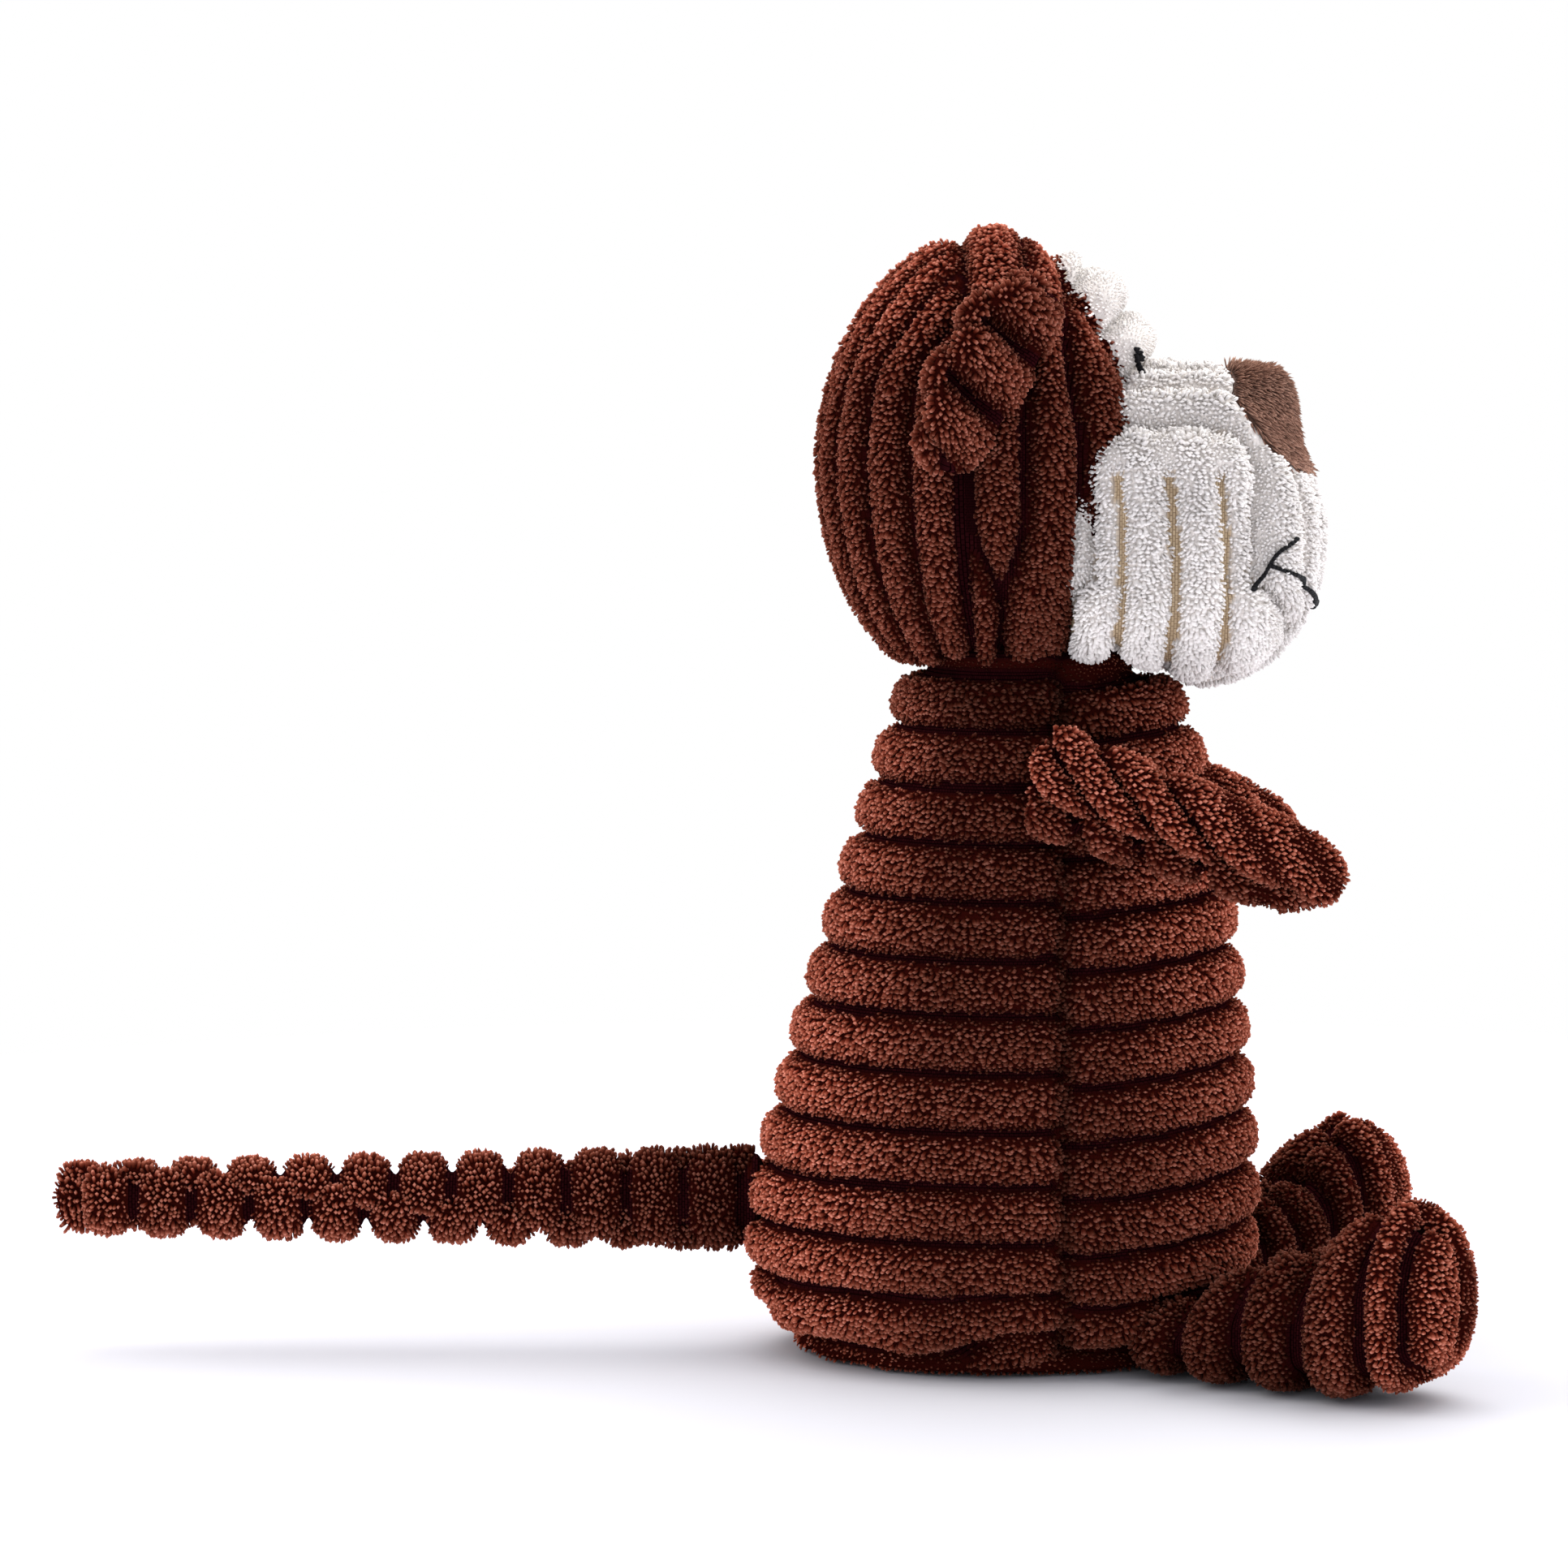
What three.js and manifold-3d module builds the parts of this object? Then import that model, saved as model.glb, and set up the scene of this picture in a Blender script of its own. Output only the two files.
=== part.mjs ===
// Plush monkey dog toy, sitting: covers of ribbed cord plush sewn over fibre stuffing round a squeaker.
// Millimetres. +X is the monkey's front, +Y its left side, +Z up.
// The origin is the middle of the seat on the floor.
import * as THREE from 'three';
import { mergeVertices } from 'three/addons/utils/BufferGeometryUtils.js';
import Module from 'manifold-3d';

const wasm = await Module();
wasm.setup();

// Fabric and seams
const WALE_PITCH = 11.2;          // one rib of the cord plush with the groove beside it
const WALE_DEPTH = 2.4;           // rib crest above the bare woven backing in the groove
const CREST_START = 0.28;         // share of the pitch from a groove to the rib's flat crest
const BACKING = 1.4;              // woven backing with its seam allowance
const SEAM_GAP = 0.3;             // between two panels along a seam
const FILL_GAP = 0.3;             // between a cover and its stuffing
const JOINT_GAP = 0.35;           // between a limb's sewn root and what it is sewn to

// Torso: a pear of a front, a back and a seat panel
const TORSO_HEIGHT = 140.5;       // floor to neck seam
const BELLY_HEIGHT = 28;          // height of the widest ring
const BELLY_BACK = 53.5;
const BELLY_FRONT = 53.5;
const BELLY_SIDE = 42.5;
const NECK_BACK = 21;
const NECK_FRONT = 27;
const NECK_SIDE = 26;
const SEAT_EDGE = 6;              // seam of the seat panel above the floor
const SEAT_TUCK = 0.6;            // how far the seat draws in below the belly, 1 for a full dome
const SIDE_SEAM_X = 11;           // front and back panels meet here

// Squeaker in the middle of the torso stuffing
const SQUEAKER_HEIGHT = 62;       // bulb centre above the floor
const BULB_RADIUS = 17;
const BULB_WALL = 1.2;
const REED_RADIUS = 5;
const REED_LENGTH = 10;
const REED_CLEARANCE = 0.05;
const REED_BORE = 1.5;
const SLIT_WIDTH = 1;             // slit in the fibre through which the bulb was pushed in

// Head: an egg on the neck seam
const HEAD_X = -4;
const HEAD_RISE = 42.5;           // head centre above the neck seam
const HEAD_BACK = 34.8;
const HEAD_FRONT = 36;
const HEAD_SIDE = 40;
const HEAD_UP = 46.5;
const HEAD_DOWN = 50;
const HEAD_WALES = 20;            // ribs around the head, from the crown to the neck
const HEAD_SEAM = 5;              // seam of the back panel behind the head centre
const FACE_TILT = 29;             // forehead panel's axis above level, degrees
const FACE_DEPTH = 32.5;          // forehead panel's edge from the head centre
const NECK_TURN = 30;             // head turn each way, degrees

// Muzzle: a rounded pouch on the front of the head
const MUZZLE_REACH = 69;          // front of the muzzle ahead of the head centre
const MUZZLE_LENGTH = 56;
const MUZZLE_DROP = 15;           // muzzle centre below the head centre
const MUZZLE_SIDE = 36;
const MUZZLE_HALF_HEIGHT = 34.5;
const CHIN_HALF_HEIGHT = 32.5;
const MUZZLE_FRONT_ROUND = 27;    // length of its rounded front
const NOSE_ROUND = 7;             // the same at the top, where the nose fills it out
const NOSE_ARC = 0.8;             // sine of the angle above which the front is so filled out
const NOSE_LEAN = 5;              // how far the front leans back at the nose
const MUZZLE_BACK_ROUND = 16;
const MUZZLE_BACK_TUCK = 0.25;    // how far its back edge draws in, as a share
const MUZZLE_SQUARENESS = 2.8;    // 2 is an oval section
const BRIDGE_SQUARENESS = 2.2;    // the same at the top
const MUZZLE_FULLNESS = 2.4;      // 2 is a round front
const CHEEK_SEAM = 26;            // seam of a cheek from the middle
const CHEEK_TOP = 12;             // cheek ribs end here above the muzzle centre

// Nose, eyes and mouth
const NOSE_WIDTH = 44;
const NOSE_TALL = 25;
const NOSE_RISE = 22;             // middle of the nose patch above the muzzle centre
const NOSE_TILT = 40;             // nose patch faces this far above level, degrees
const NOSE_THICK = 1.8;
const EYE_WIDTH = 4.5;
const EYE_TALL = 6;
const EYE_SPREAD = 30;            // eye from the middle plane, degrees
const EYE_RISE = 21;              // eye above the head centre
const EYE_THICK = 1.1;
const THREAD_RADIUS = 0.8;
const MOUTH_HALF_WIDTH = 28;
const MOUTH_DROP = 13;            // middle of the smile below the muzzle centre
const MOUTH_CURL = 9;             // corners above the middle of the smile
const DIMPLE_LENGTH = 9;

// Ears: two flat layers standing out of the head's side seam
const EAR_LENGTH = 44;            // along the head
const EAR_REACH = 22;             // out of the head
const EAR_THICK = 15;
const EAR_WALES = 3;
const EAR_RISE = 15.5;            // ear's middle above the head centre
const EAR_LEAN = 31;              // root line's lean to the front, degrees
const EAR_SWEEP = 122;            // turn from straight ahead, degrees
const EAR_LIFT = 12;              // ear's tilt upwards, degrees
const EAR_FORWARD = 50;           // flop to the front, degrees
const EAR_BACKWARD = 10;          // flop to the back, degrees

// Arms: tapered tubes sewn into the torso's side
const ARM_LENGTH = 66;
const ARM_ROOT_HALF = 13;         // half height at the shoulder
const ARM_HAND_HALF = 10;
const ARM_HALF_THICK = 8.5;
const ARM_X = 5;                  // shoulder seam
const ARM_DROP = 19.5;            // shoulder below the neck seam
const ARM_DROOP = 19;             // degrees below level
const ARM_SPREAD = 11;            // degrees away from the middle plane
const ARM_OUT = 70;               // swing away from the body, degrees
const ARM_IN = 10;                // swing towards the belly, degrees

// Legs: fat wedges lying on the floor with turned-up feet
const LEG_LENGTH = 62.5;
const HIP_X = 36;
const HIP_Y = 24.5;
const HIP_HEIGHT = 8;
const LEG_SPLAY = 35;             // degrees away from the middle plane
const LEG_ROOT_TALL = 17;
const SHIN_RISE = 11;             // the shin's height over the root's
const SHIN_FULL = 0.4;            // share of the leg where the shin has its full height
const FOOT_RISE = 15.5;           // the foot's height over the shin's
const FOOT_START = 0.45;          // shares of the leg between which the foot rises
const FOOT_FULL = 0.85;
const LEG_ROOT_WIDTH = 34;
const FOOT_WIDTH = 36;
const LEG_PITCH = 13.5;           // rib pitch on the legs
const LEG_UP = 35;                // lift, degrees
const LEG_DOWN = 15;              // drop when the toy is held up, degrees
const LEG_PRESS = 0.5;            // how far the foot flattens on the floor

// Tail: two lobed layers whose seam winds round them
const TAIL_LOBES = 12;
const TAIL_PITCH = 11.8;
const TAIL_HEIGHT = 31;           // tail axis above the floor
const TAIL_ROOT_HALF = 11;        // half height of the lobes
const TAIL_TIP_HALF = 7.5;
const TAIL_HALF_THICK = 7;
const TAIL_NIP = 0.5;             // groove size over lobe size
const TAIL_TWIST = 180;           // turn of the seam from root to tip, degrees
const TAIL_WAG = 40;              // wag each way, degrees

// Mesh fineness
const TORSO_SIDES = 22;
const INNER_SIDES = 16;           // round sections of the hollows and the stuffing
const BULB_SIDES = 10;
const SMOOTH_STEPS = 6;
const HEAD_RINGS = 12;
const MUZZLE_SIDES = 20;
const LIMB_SIDES = 10;
const SPAN = 1000;                // cutting blocks reach past the whole toy
const NECK_STEPS = 4;
const SWEEP_STEPS = 2;            // cuts through a joint's range

const COVER_WALL = WALE_DEPTH + BACKING;
const FILL_INSET = COVER_WALL + FILL_GAP;
const HEAD_Z = TORSO_HEIGHT + HEAD_RISE;
const MUZZLE_Z = HEAD_Z - MUZZLE_DROP;
const ARM_HEIGHT = TORSO_HEIGHT - ARM_DROP;
const MUZZLE_FRONT = HEAD_X + MUZZLE_REACH;
const RIGHT = -1;
const LEFT = 1;
const SIDES = [['right', RIGHT], ['left', LEFT]];

const { lerp, clamp, smoothstep, degToRad } = THREE.MathUtils;
const TURN = 2 * Math.PI;
const X_AXIS = new THREE.Vector3(1, 0, 0);
const Y_AXIS = new THREE.Vector3(0, 1, 0);
const Z_AXIS = new THREE.Vector3(0, 0, 1);

const BROWN_PLUSH = new THREE.MeshStandardMaterial({ color: 0x6b3626, roughness: 0.95, metalness: 0 });
const CREAM_PLUSH = new THREE.MeshStandardMaterial({ color: 0xe8e2d8, roughness: 0.95, metalness: 0 });
const NOSE_PLUSH = new THREE.MeshStandardMaterial({ color: 0x6f5040, roughness: 0.9, metalness: 0 });
const BLACK_THREAD = new THREE.MeshStandardMaterial({ color: 0x15151a, roughness: 0.7, metalness: 0 });
const WHITE_FIBRE = new THREE.MeshStandardMaterial({ color: 0xf2f1ec, roughness: 1, metalness: 0 });
const CLEAR_PLASTIC = new THREE.MeshStandardMaterial({ color: 0xdfe3e6, roughness: 0.35, metalness: 0 });

// Solids and booleans

function toSolid(geometry) {
  const bare = geometry.clone();
  bare.deleteAttribute('normal');
  bare.deleteAttribute('uv');
  const merged = mergeVertices(bare);
  const vertProperties = new Float32Array(merged.attributes.position.array);
  const triVerts = new Uint32Array(merged.index.array);
  return new wasm.Manifold(new wasm.Mesh({ numProp: 3, vertProperties, triVerts }));
}

function toGeometry(solid) {
  const mesh = solid.getMesh();
  const geometry = new THREE.BufferGeometry();
  geometry.setAttribute('position', new THREE.BufferAttribute(mesh.vertProperties, 3));
  geometry.setIndex(new THREE.BufferAttribute(mesh.triVerts, 1));
  geometry.computeVertexNormals();
  return geometry;
}

function turned(geometry, axis, degrees) {
  return geometry.clone().applyMatrix4(new THREE.Matrix4().makeRotationAxis(axis, degToRad(degrees)));
}

// Everything on the far side of a plane, seen along its normal.
function halfSpace(normal, offset) {
  const block = new THREE.BoxGeometry(SPAN, SPAN, SPAN);
  block.translate(0, 0, offset + SPAN / 2);
  block.applyQuaternion(new THREE.Quaternion().setFromUnitVectors(Z_AXIS, normal.clone().normalize()));
  return toSolid(block);
}

// The two sides of a seam plane, each half a seam gap clear of it.
function splitAtSeam(solid, normal, offset) {
  const ahead = solid.intersect(halfSpace(normal, offset + SEAM_GAP / 2));
  const behind = solid.subtract(halfSpace(normal, offset - SEAM_GAP / 2));
  return [ahead, behind];
}

// What stays of a limb after its neighbour has passed through the whole range of the limb's joint.
function clearedThrough(limb, neighbour, axis, from, to, steps = SWEEP_STEPS) {
  let cleared = limb;
  for (let step = 0; step <= steps; step += 1) {
    const angle = lerp(from, to, step / steps);
    cleared = cleared.subtract(toSolid(turned(neighbour, axis, -angle)));
  }
  return cleared;
}

function addPiece(group, name, shape, material) {
  const geometry = shape.isBufferGeometry ? shape : toGeometry(shape);
  const mesh = new THREE.Mesh(geometry, material);
  mesh.name = name;
  group.add(mesh);
}

// Lofts

function facesOut(geometry) {
  const { position } = geometry.attributes;
  const index = geometry.index.array;
  const corner = [new THREE.Vector3(), new THREE.Vector3(), new THREE.Vector3()];
  let volume = 0;
  for (let i = 0; i < index.length; i += 3) {
    corner.forEach((point, k) => point.fromBufferAttribute(position, index[i + k]));
    volume += corner[0].dot(corner[1].cross(corner[2]));
  }
  if (volume < 0) {
    for (let i = 0; i < index.length; i += 3) {
      [index[i], index[i + 1]] = [index[i + 1], index[i]];
    }
  }
  return geometry;
}

// A closed skin over rings of equal point counts, with a fan on each end ring.
function loft(rings) {
  const sides = rings[0].length;
  const points = rings.flat();
  const middle = (ring) => ring.reduce((sum, p) => sum.add(p), new THREE.Vector3()).divideScalar(sides);
  const firstCap = points.push(middle(rings[0])) - 1;
  const lastCap = points.push(middle(rings.at(-1))) - 1;
  const lastRing = (rings.length - 1) * sides;
  const index = [];
  for (let k = 0; k < sides; k += 1) {
    const next = (k + 1) % sides;
    for (let row = 0; row < lastRing; row += sides) {
      index.push(row + k, row + next, row + sides + next);
      index.push(row + k, row + sides + next, row + sides + k);
    }
    index.push(firstCap, next, k);
    index.push(lastCap, lastRing + k, lastRing + next);
  }
  const geometry = new THREE.BufferGeometry().setFromPoints(points);
  geometry.setIndex(index);
  return facesOut(geometry);
}

function ring(sides, pointAt) {
  return Array.from({ length: sides }, (_, k) => pointAt((k * TURN) / sides, k));
}

// Stations along a ribbed form: a groove at each end of a rib and two crests between them.
function ribStations(start, end, pitch) {
  const count = Math.max(1, Math.round((end - start) / pitch));
  const step = (end - start) / count;
  const stations = [{ at: start, dip: 1 }];
  for (let rib = 0; rib < count; rib += 1) {
    stations.push({ at: start + (rib + CREST_START) * step, dip: 0 });
    stations.push({ at: start + (rib + 1 - CREST_START) * step, dip: 0 });
    stations.push({ at: start + (rib + 1) * step, dip: 1 });
  }
  return stations;
}

function evenStations(start, end) {
  const station = (_, k) => ({ at: lerp(start, end, k / SMOOTH_STEPS), dip: 0 });
  return Array.from({ length: SMOOTH_STEPS + 1 }, station);
}

// Torso

// Reach of the rib crests from the torso's axis at a height.
function torsoReach(height) {
  const rise = clamp((height - BELLY_HEIGHT) / (TORSO_HEIGHT - BELLY_HEIGHT), 0, 1);
  const sink = clamp((BELLY_HEIGHT - height) / BELLY_HEIGHT, 0, 1);
  const tuck = Math.sqrt(1 - (SEAT_TUCK * sink) ** 2);
  return {
    back: tuck * lerp(BELLY_BACK, NECK_BACK, rise ** 1.1),
    front: tuck * lerp(NECK_FRONT, BELLY_FRONT, Math.sqrt(1 - rise ** 1.5)),
    side: tuck * lerp(BELLY_SIDE, NECK_SIDE, rise ** 1.4),
  };
}

const SEAT_STATIONS = [{ at: 0, dip: 0 }, { at: SEAT_EDGE / 2, dip: 0 }];
const TORSO_RIBS = [...SEAT_STATIONS, ...ribStations(SEAT_EDGE, TORSO_HEIGHT, WALE_PITCH)];
const TORSO_SMOOTH = evenStations(0, TORSO_HEIGHT);

function torsoForm(inset, groove, stations, sides) {
  return loft(stations.map(({ at, dip }) => {
    const reach = torsoReach(at);
    const draw = inset + dip * groove;
    const height = lerp(inset, TORSO_HEIGHT - inset, at / TORSO_HEIGHT);
    return ring(sides, (angle) => {
      const ahead = Math.cos(angle) > 0 ? reach.front : reach.back;
      const x = (ahead - draw) * Math.cos(angle);
      return new THREE.Vector3(x, (reach.side - draw) * Math.sin(angle), height);
    });
  }));
}

const torsoEnvelope = torsoForm(-JOINT_GAP, 0, TORSO_RIBS, TORSO_SIDES);

function bulbProfile(radius) {
  return new THREE.Path().absarc(0, 0, radius, -Math.PI / 2, Math.PI / 2, false).getPoints(BULB_SIDES / 2);
}

function latheZ(profile) {
  return new THREE.LatheGeometry(profile, BULB_SIDES).rotateX(Math.PI / 2);
}

function buildSqueaker(group) {
  const neck = REED_RADIUS + REED_CLEARANCE;
  const ball = toSolid(latheZ(bulbProfile(BULB_RADIUS)));
  const hollow = toSolid(latheZ(bulbProfile(BULB_RADIUS - BULB_WALL)));
  const hole = new THREE.CylinderGeometry(neck, neck, BULB_RADIUS, BULB_SIDES).rotateX(Math.PI / 2);
  hole.translate(0, 0, -BULB_RADIUS);
  const bulb = toGeometry(ball.subtract(hollow).subtract(toSolid(hole)));
  const reedTop = -Math.sqrt(BULB_RADIUS ** 2 - REED_RADIUS ** 2) + REED_LENGTH;
  const tube = new THREE.Path([new THREE.Vector2(REED_BORE, 0)]);
  tube.lineTo(REED_BORE, -REED_LENGTH);
  tube.lineTo(REED_RADIUS, -REED_LENGTH);
  tube.lineTo(REED_RADIUS, 0);
  tube.lineTo(REED_BORE, 0);
  const reed = latheZ(tube.getPoints());
  reed.translate(0, 0, reedTop);
  const squeaker = new THREE.Group();
  squeaker.position.z = SQUEAKER_HEIGHT;
  addPiece(squeaker, 'squeaker_bulb', bulb, CLEAR_PLASTIC);
  addPiece(squeaker, 'squeaker_reed', mergeVertices(reed), CLEAR_PLASTIC);
  group.add(squeaker);
}

function buildTorso(group) {
  const outside = toSolid(torsoForm(0, WALE_DEPTH, TORSO_RIBS, TORSO_SIDES));
  const cover = outside.subtract(toSolid(torsoForm(COVER_WALL, 0, TORSO_SMOOTH, INNER_SIDES)));
  const [upper, seat] = splitAtSeam(cover, Z_AXIS, SEAT_EDGE);
  const [front, back] = splitAtSeam(upper, X_AXIS, SIDE_SEAM_X);
  addPiece(group, 'torso_back_panel', back, BROWN_PLUSH);
  addPiece(group, 'torso_front_panel', front, BROWN_PLUSH);
  addPiece(group, 'torso_seat_panel', seat, BROWN_PLUSH);
  const pocket = latheZ(bulbProfile(BULB_RADIUS + FILL_GAP)).translate(0, 0, SQUEAKER_HEIGHT);
  const slit = new THREE.BoxGeometry(SLIT_WIDTH, 2 * BULB_RADIUS, SQUEAKER_HEIGHT);
  slit.translate(0, 0, SQUEAKER_HEIGHT / 2);
  const stuffing = toSolid(torsoForm(FILL_INSET, 0, TORSO_SMOOTH, INNER_SIDES))
    .subtract(toSolid(pocket)).subtract(toSolid(slit));
  addPiece(group, 'torso_stuffing', stuffing, WHITE_FIBRE);
  buildSqueaker(group);
}

// Head and muzzle

const HEAD_FINE = 3 * HEAD_WALES;

function headForm(inset, groove, sides) {
  const rings = Array.from({ length: HEAD_RINGS }, (_, row) => {
    const latitude = lerp(-degToRad(72), degToRad(86), row / (HEAD_RINGS - 1));
    const tall = (latitude > 0 ? HEAD_UP : HEAD_DOWN) - inset;
    const size = Math.cos(latitude);
    return ring(sides, (angle, k) => {
      const dip = k % 3 === 0 ? groove : 0;
      const ahead = (Math.cos(angle) > 0 ? HEAD_FRONT : HEAD_BACK) - inset - dip;
      const aside = HEAD_SIDE - inset - dip;
      const x = HEAD_X + size * ahead * Math.cos(angle);
      return new THREE.Vector3(x, size * aside * Math.sin(angle), HEAD_Z + tall * Math.sin(latitude));
    });
  });
  return loft(rings);
}

// Half sizes of the muzzle over its greatest, at a distance behind its front; upward is 1 at the top.
function muzzleSize(behind, upward) {
  const round = lerp(MUZZLE_FRONT_ROUND, NOSE_ROUND, smoothstep(upward, NOSE_ARC, 1));
  const front = clamp(1 - behind / round, 0, 1);
  const back = clamp(1 - (MUZZLE_LENGTH - behind) / MUZZLE_BACK_ROUND, 0, 1);
  return Math.sqrt(1 - front ** MUZZLE_FULLNESS) * (1 - MUZZLE_BACK_TUCK * back ** 2);
}

function squared(value, upward) {
  const squareness = lerp(MUZZLE_SQUARENESS, BRIDGE_SQUARENESS, smoothstep(upward, 0, 1));
  return Math.sign(value) * Math.abs(value) ** (2 / squareness);
}

const MUZZLE_RIBS = ribStations(WALE_DEPTH / 2, MUZZLE_LENGTH, WALE_PITCH);
const MUZZLE_SMOOTH = evenStations(WALE_DEPTH / 2, MUZZLE_LENGTH);

function muzzleForm(inset, groove, stations) {
  return loft(stations.map(({ at, dip }) => {
    return ring(MUZZLE_SIDES, (angle) => {
      const upward = Math.sin(angle);
      const size = muzzleSize(at, upward);
      const tall = (upward > 0 ? MUZZLE_HALF_HEIGHT : CHIN_HALF_HEIGHT) * size;
      const up = squared(upward, upward);
      const cheek = clamp((CHEEK_TOP - up * tall) / WALE_DEPTH, 0, 1) * clamp(size * 2 - 1, 0, 1);
      const draw = inset + dip * cheek * groove;
      const y = squared(Math.cos(angle), upward) * (MUZZLE_SIDE * size - draw);
      const z = up * (tall - draw);
      const front = smoothstep(MUZZLE_FRONT_ROUND - at, 0, MUZZLE_FRONT_ROUND);
      const lean = front * clamp(z / MUZZLE_HALF_HEIGHT, 0, 1) ** 1.5;
      const behind = lerp(inset, MUZZLE_LENGTH, at / MUZZLE_LENGTH) + NOSE_LEAN * lean;
      return new THREE.Vector3(MUZZLE_FRONT - behind, y, MUZZLE_Z + z);
    });
  }));
}

// Point on the muzzle's rounded front, at a place across it and below its centre.
function muzzleFront(across, above) {
  const flat = Math.abs(across / MUZZLE_SIDE) ** MUZZLE_SQUARENESS;
  const tall = Math.abs(above / CHIN_HALF_HEIGHT) ** MUZZLE_SQUARENESS;
  const size = Math.min((flat + tall) ** (1 / MUZZLE_SQUARENESS), 1);
  const behind = MUZZLE_FRONT_ROUND * (1 - (1 - size ** 2) ** (1 / MUZZLE_FULLNESS));
  return new THREE.Vector3(MUZZLE_FRONT - behind, across, MUZZLE_Z + above);
}

// The same point lifted off the plush along its normal.
function offMuzzle(across, above, clear) {
  const point = muzzleFront(across, above);
  const along = muzzleFront(across + THREAD_RADIUS, above).sub(point);
  const up = muzzleFront(across, above + THREAD_RADIUS).sub(point);
  return point.addScaledVector(along.cross(up).normalize(), clear);
}

function thread(points) {
  const path = new THREE.CatmullRomCurve3(points);
  const section = new THREE.Shape().absarc(0, 0, THREAD_RADIUS, 0, TURN, false);
  const steps = 2 * points.length;
  return toSolid(new THREE.ExtrudeGeometry(section, { steps, extrudePath: path, curveSegments: 3 }));
}

function buildMouth(group) {
  const clear = 2 * THREAD_RADIUS + JOINT_GAP;
  const smile = (share) => [MOUTH_HALF_WIDTH * share, MOUTH_CURL * share ** 2 - MOUTH_DROP];
  const onFace = ([across, above]) => offMuzzle(across, above, clear);
  let stitching = thread([-1, -0.6, -0.3, 0, 0.3, 0.6, 1].map((share) => onFace(smile(share))));
  for (const side of [RIGHT, LEFT]) {
    const [across, above] = smile(side);
    const dimple = [-1, 0, 1].map((end) => [
      across - side * end * DIMPLE_LENGTH * 0.3,
      above + end * DIMPLE_LENGTH * 0.4,
    ]);
    stitching = stitching.add(thread(dimple.map(onFace)));
  }
  const clearance = toSolid(muzzleForm(-JOINT_GAP, 0, MUZZLE_RIBS));
  addPiece(group, 'mouth_stitching', stitching.subtract(clearance), BLACK_THREAD);
}

function buildNose(group) {
  const half = NOSE_WIDTH / 2;
  const outline = new THREE.Shape();
  outline.moveTo(0, -NOSE_TALL / 2);
  outline.quadraticCurveTo(half, 0, half, NOSE_TALL / 4);
  outline.quadraticCurveTo(half, NOSE_TALL / 2, 0, NOSE_TALL / 2);
  outline.quadraticCurveTo(-half, NOSE_TALL / 2, -half, NOSE_TALL / 4);
  outline.quadraticCurveTo(-half, 0, 0, -NOSE_TALL / 2);
  const depth = MUZZLE_LENGTH;
  const block = new THREE.ExtrudeGeometry(outline, { depth, bevelEnabled: false, curveSegments: 5 });
  block.rotateX(Math.PI / 2).rotateZ(Math.PI / 2).rotateY(-degToRad(NOSE_TILT));
  block.translate(MUZZLE_FRONT - MUZZLE_FRONT_ROUND / 2, 0, MUZZLE_Z + NOSE_RISE);
  const bed = toSolid(muzzleForm(-JOINT_GAP, 0, MUZZLE_RIBS));
  const skin = toSolid(muzzleForm(-JOINT_GAP - NOSE_THICK, 0, MUZZLE_RIBS)).subtract(bed);
  addPiece(group, 'nose_patch', skin.intersect(toSolid(block)), NOSE_PLUSH);
}

function buildEyes(group) {
  const bed = toSolid(headForm(-JOINT_GAP, 0, HEAD_FINE));
  const skin = toSolid(headForm(-JOINT_GAP - EYE_THICK, 0, HEAD_FINE)).subtract(bed);
  for (const [name, side] of SIDES) {
    const peg = new THREE.CylinderGeometry(EYE_WIDTH / 2, EYE_WIDTH / 2, HEAD_FRONT, 14);
    peg.scale(1, 1, EYE_TALL / EYE_WIDTH).rotateZ(Math.PI / 2).translate(HEAD_FRONT, 0, 0);
    peg.rotateZ(side * degToRad(EYE_SPREAD)).translate(HEAD_X, 0, HEAD_Z + EYE_RISE);
    addPiece(group, `eye_${name}`, skin.intersect(toSolid(peg)), BLACK_THREAD);
  }
}

function buildHead(group) {
  const aboveNeck = halfSpace(Z_AXIS, TORSO_HEIGHT + JOINT_GAP);
  const cover = toSolid(headForm(0, WALE_DEPTH, HEAD_FINE)).intersect(aboveNeck)
    .subtract(toSolid(headForm(COVER_WALL, 0, INNER_SIDES)));
  const faceNormal = X_AXIS.clone().applyAxisAngle(Y_AXIS, -degToRad(FACE_TILT));
  const faceOffset = faceNormal.dot(new THREE.Vector3(HEAD_X, 0, HEAD_Z)) + FACE_DEPTH;
  const muzzleBed = toSolid(muzzleForm(-SEAM_GAP, 0, MUZZLE_RIBS));
  const [forehead, brown] = splitAtSeam(cover, faceNormal, faceOffset);
  const [front, back] = splitAtSeam(brown, X_AXIS, HEAD_X - HEAD_SEAM);
  addPiece(group, 'head_back_panel', back, BROWN_PLUSH);
  addPiece(group, 'head_front_panel', front, BROWN_PLUSH);
  addPiece(group, 'forehead_panel', forehead.subtract(muzzleBed), CREAM_PLUSH);
  const stuffing = toSolid(headForm(FILL_INSET, 0, INNER_SIDES)).intersect(aboveNeck);
  addPiece(group, 'head_stuffing', stuffing, WHITE_FIBRE);
}

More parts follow.
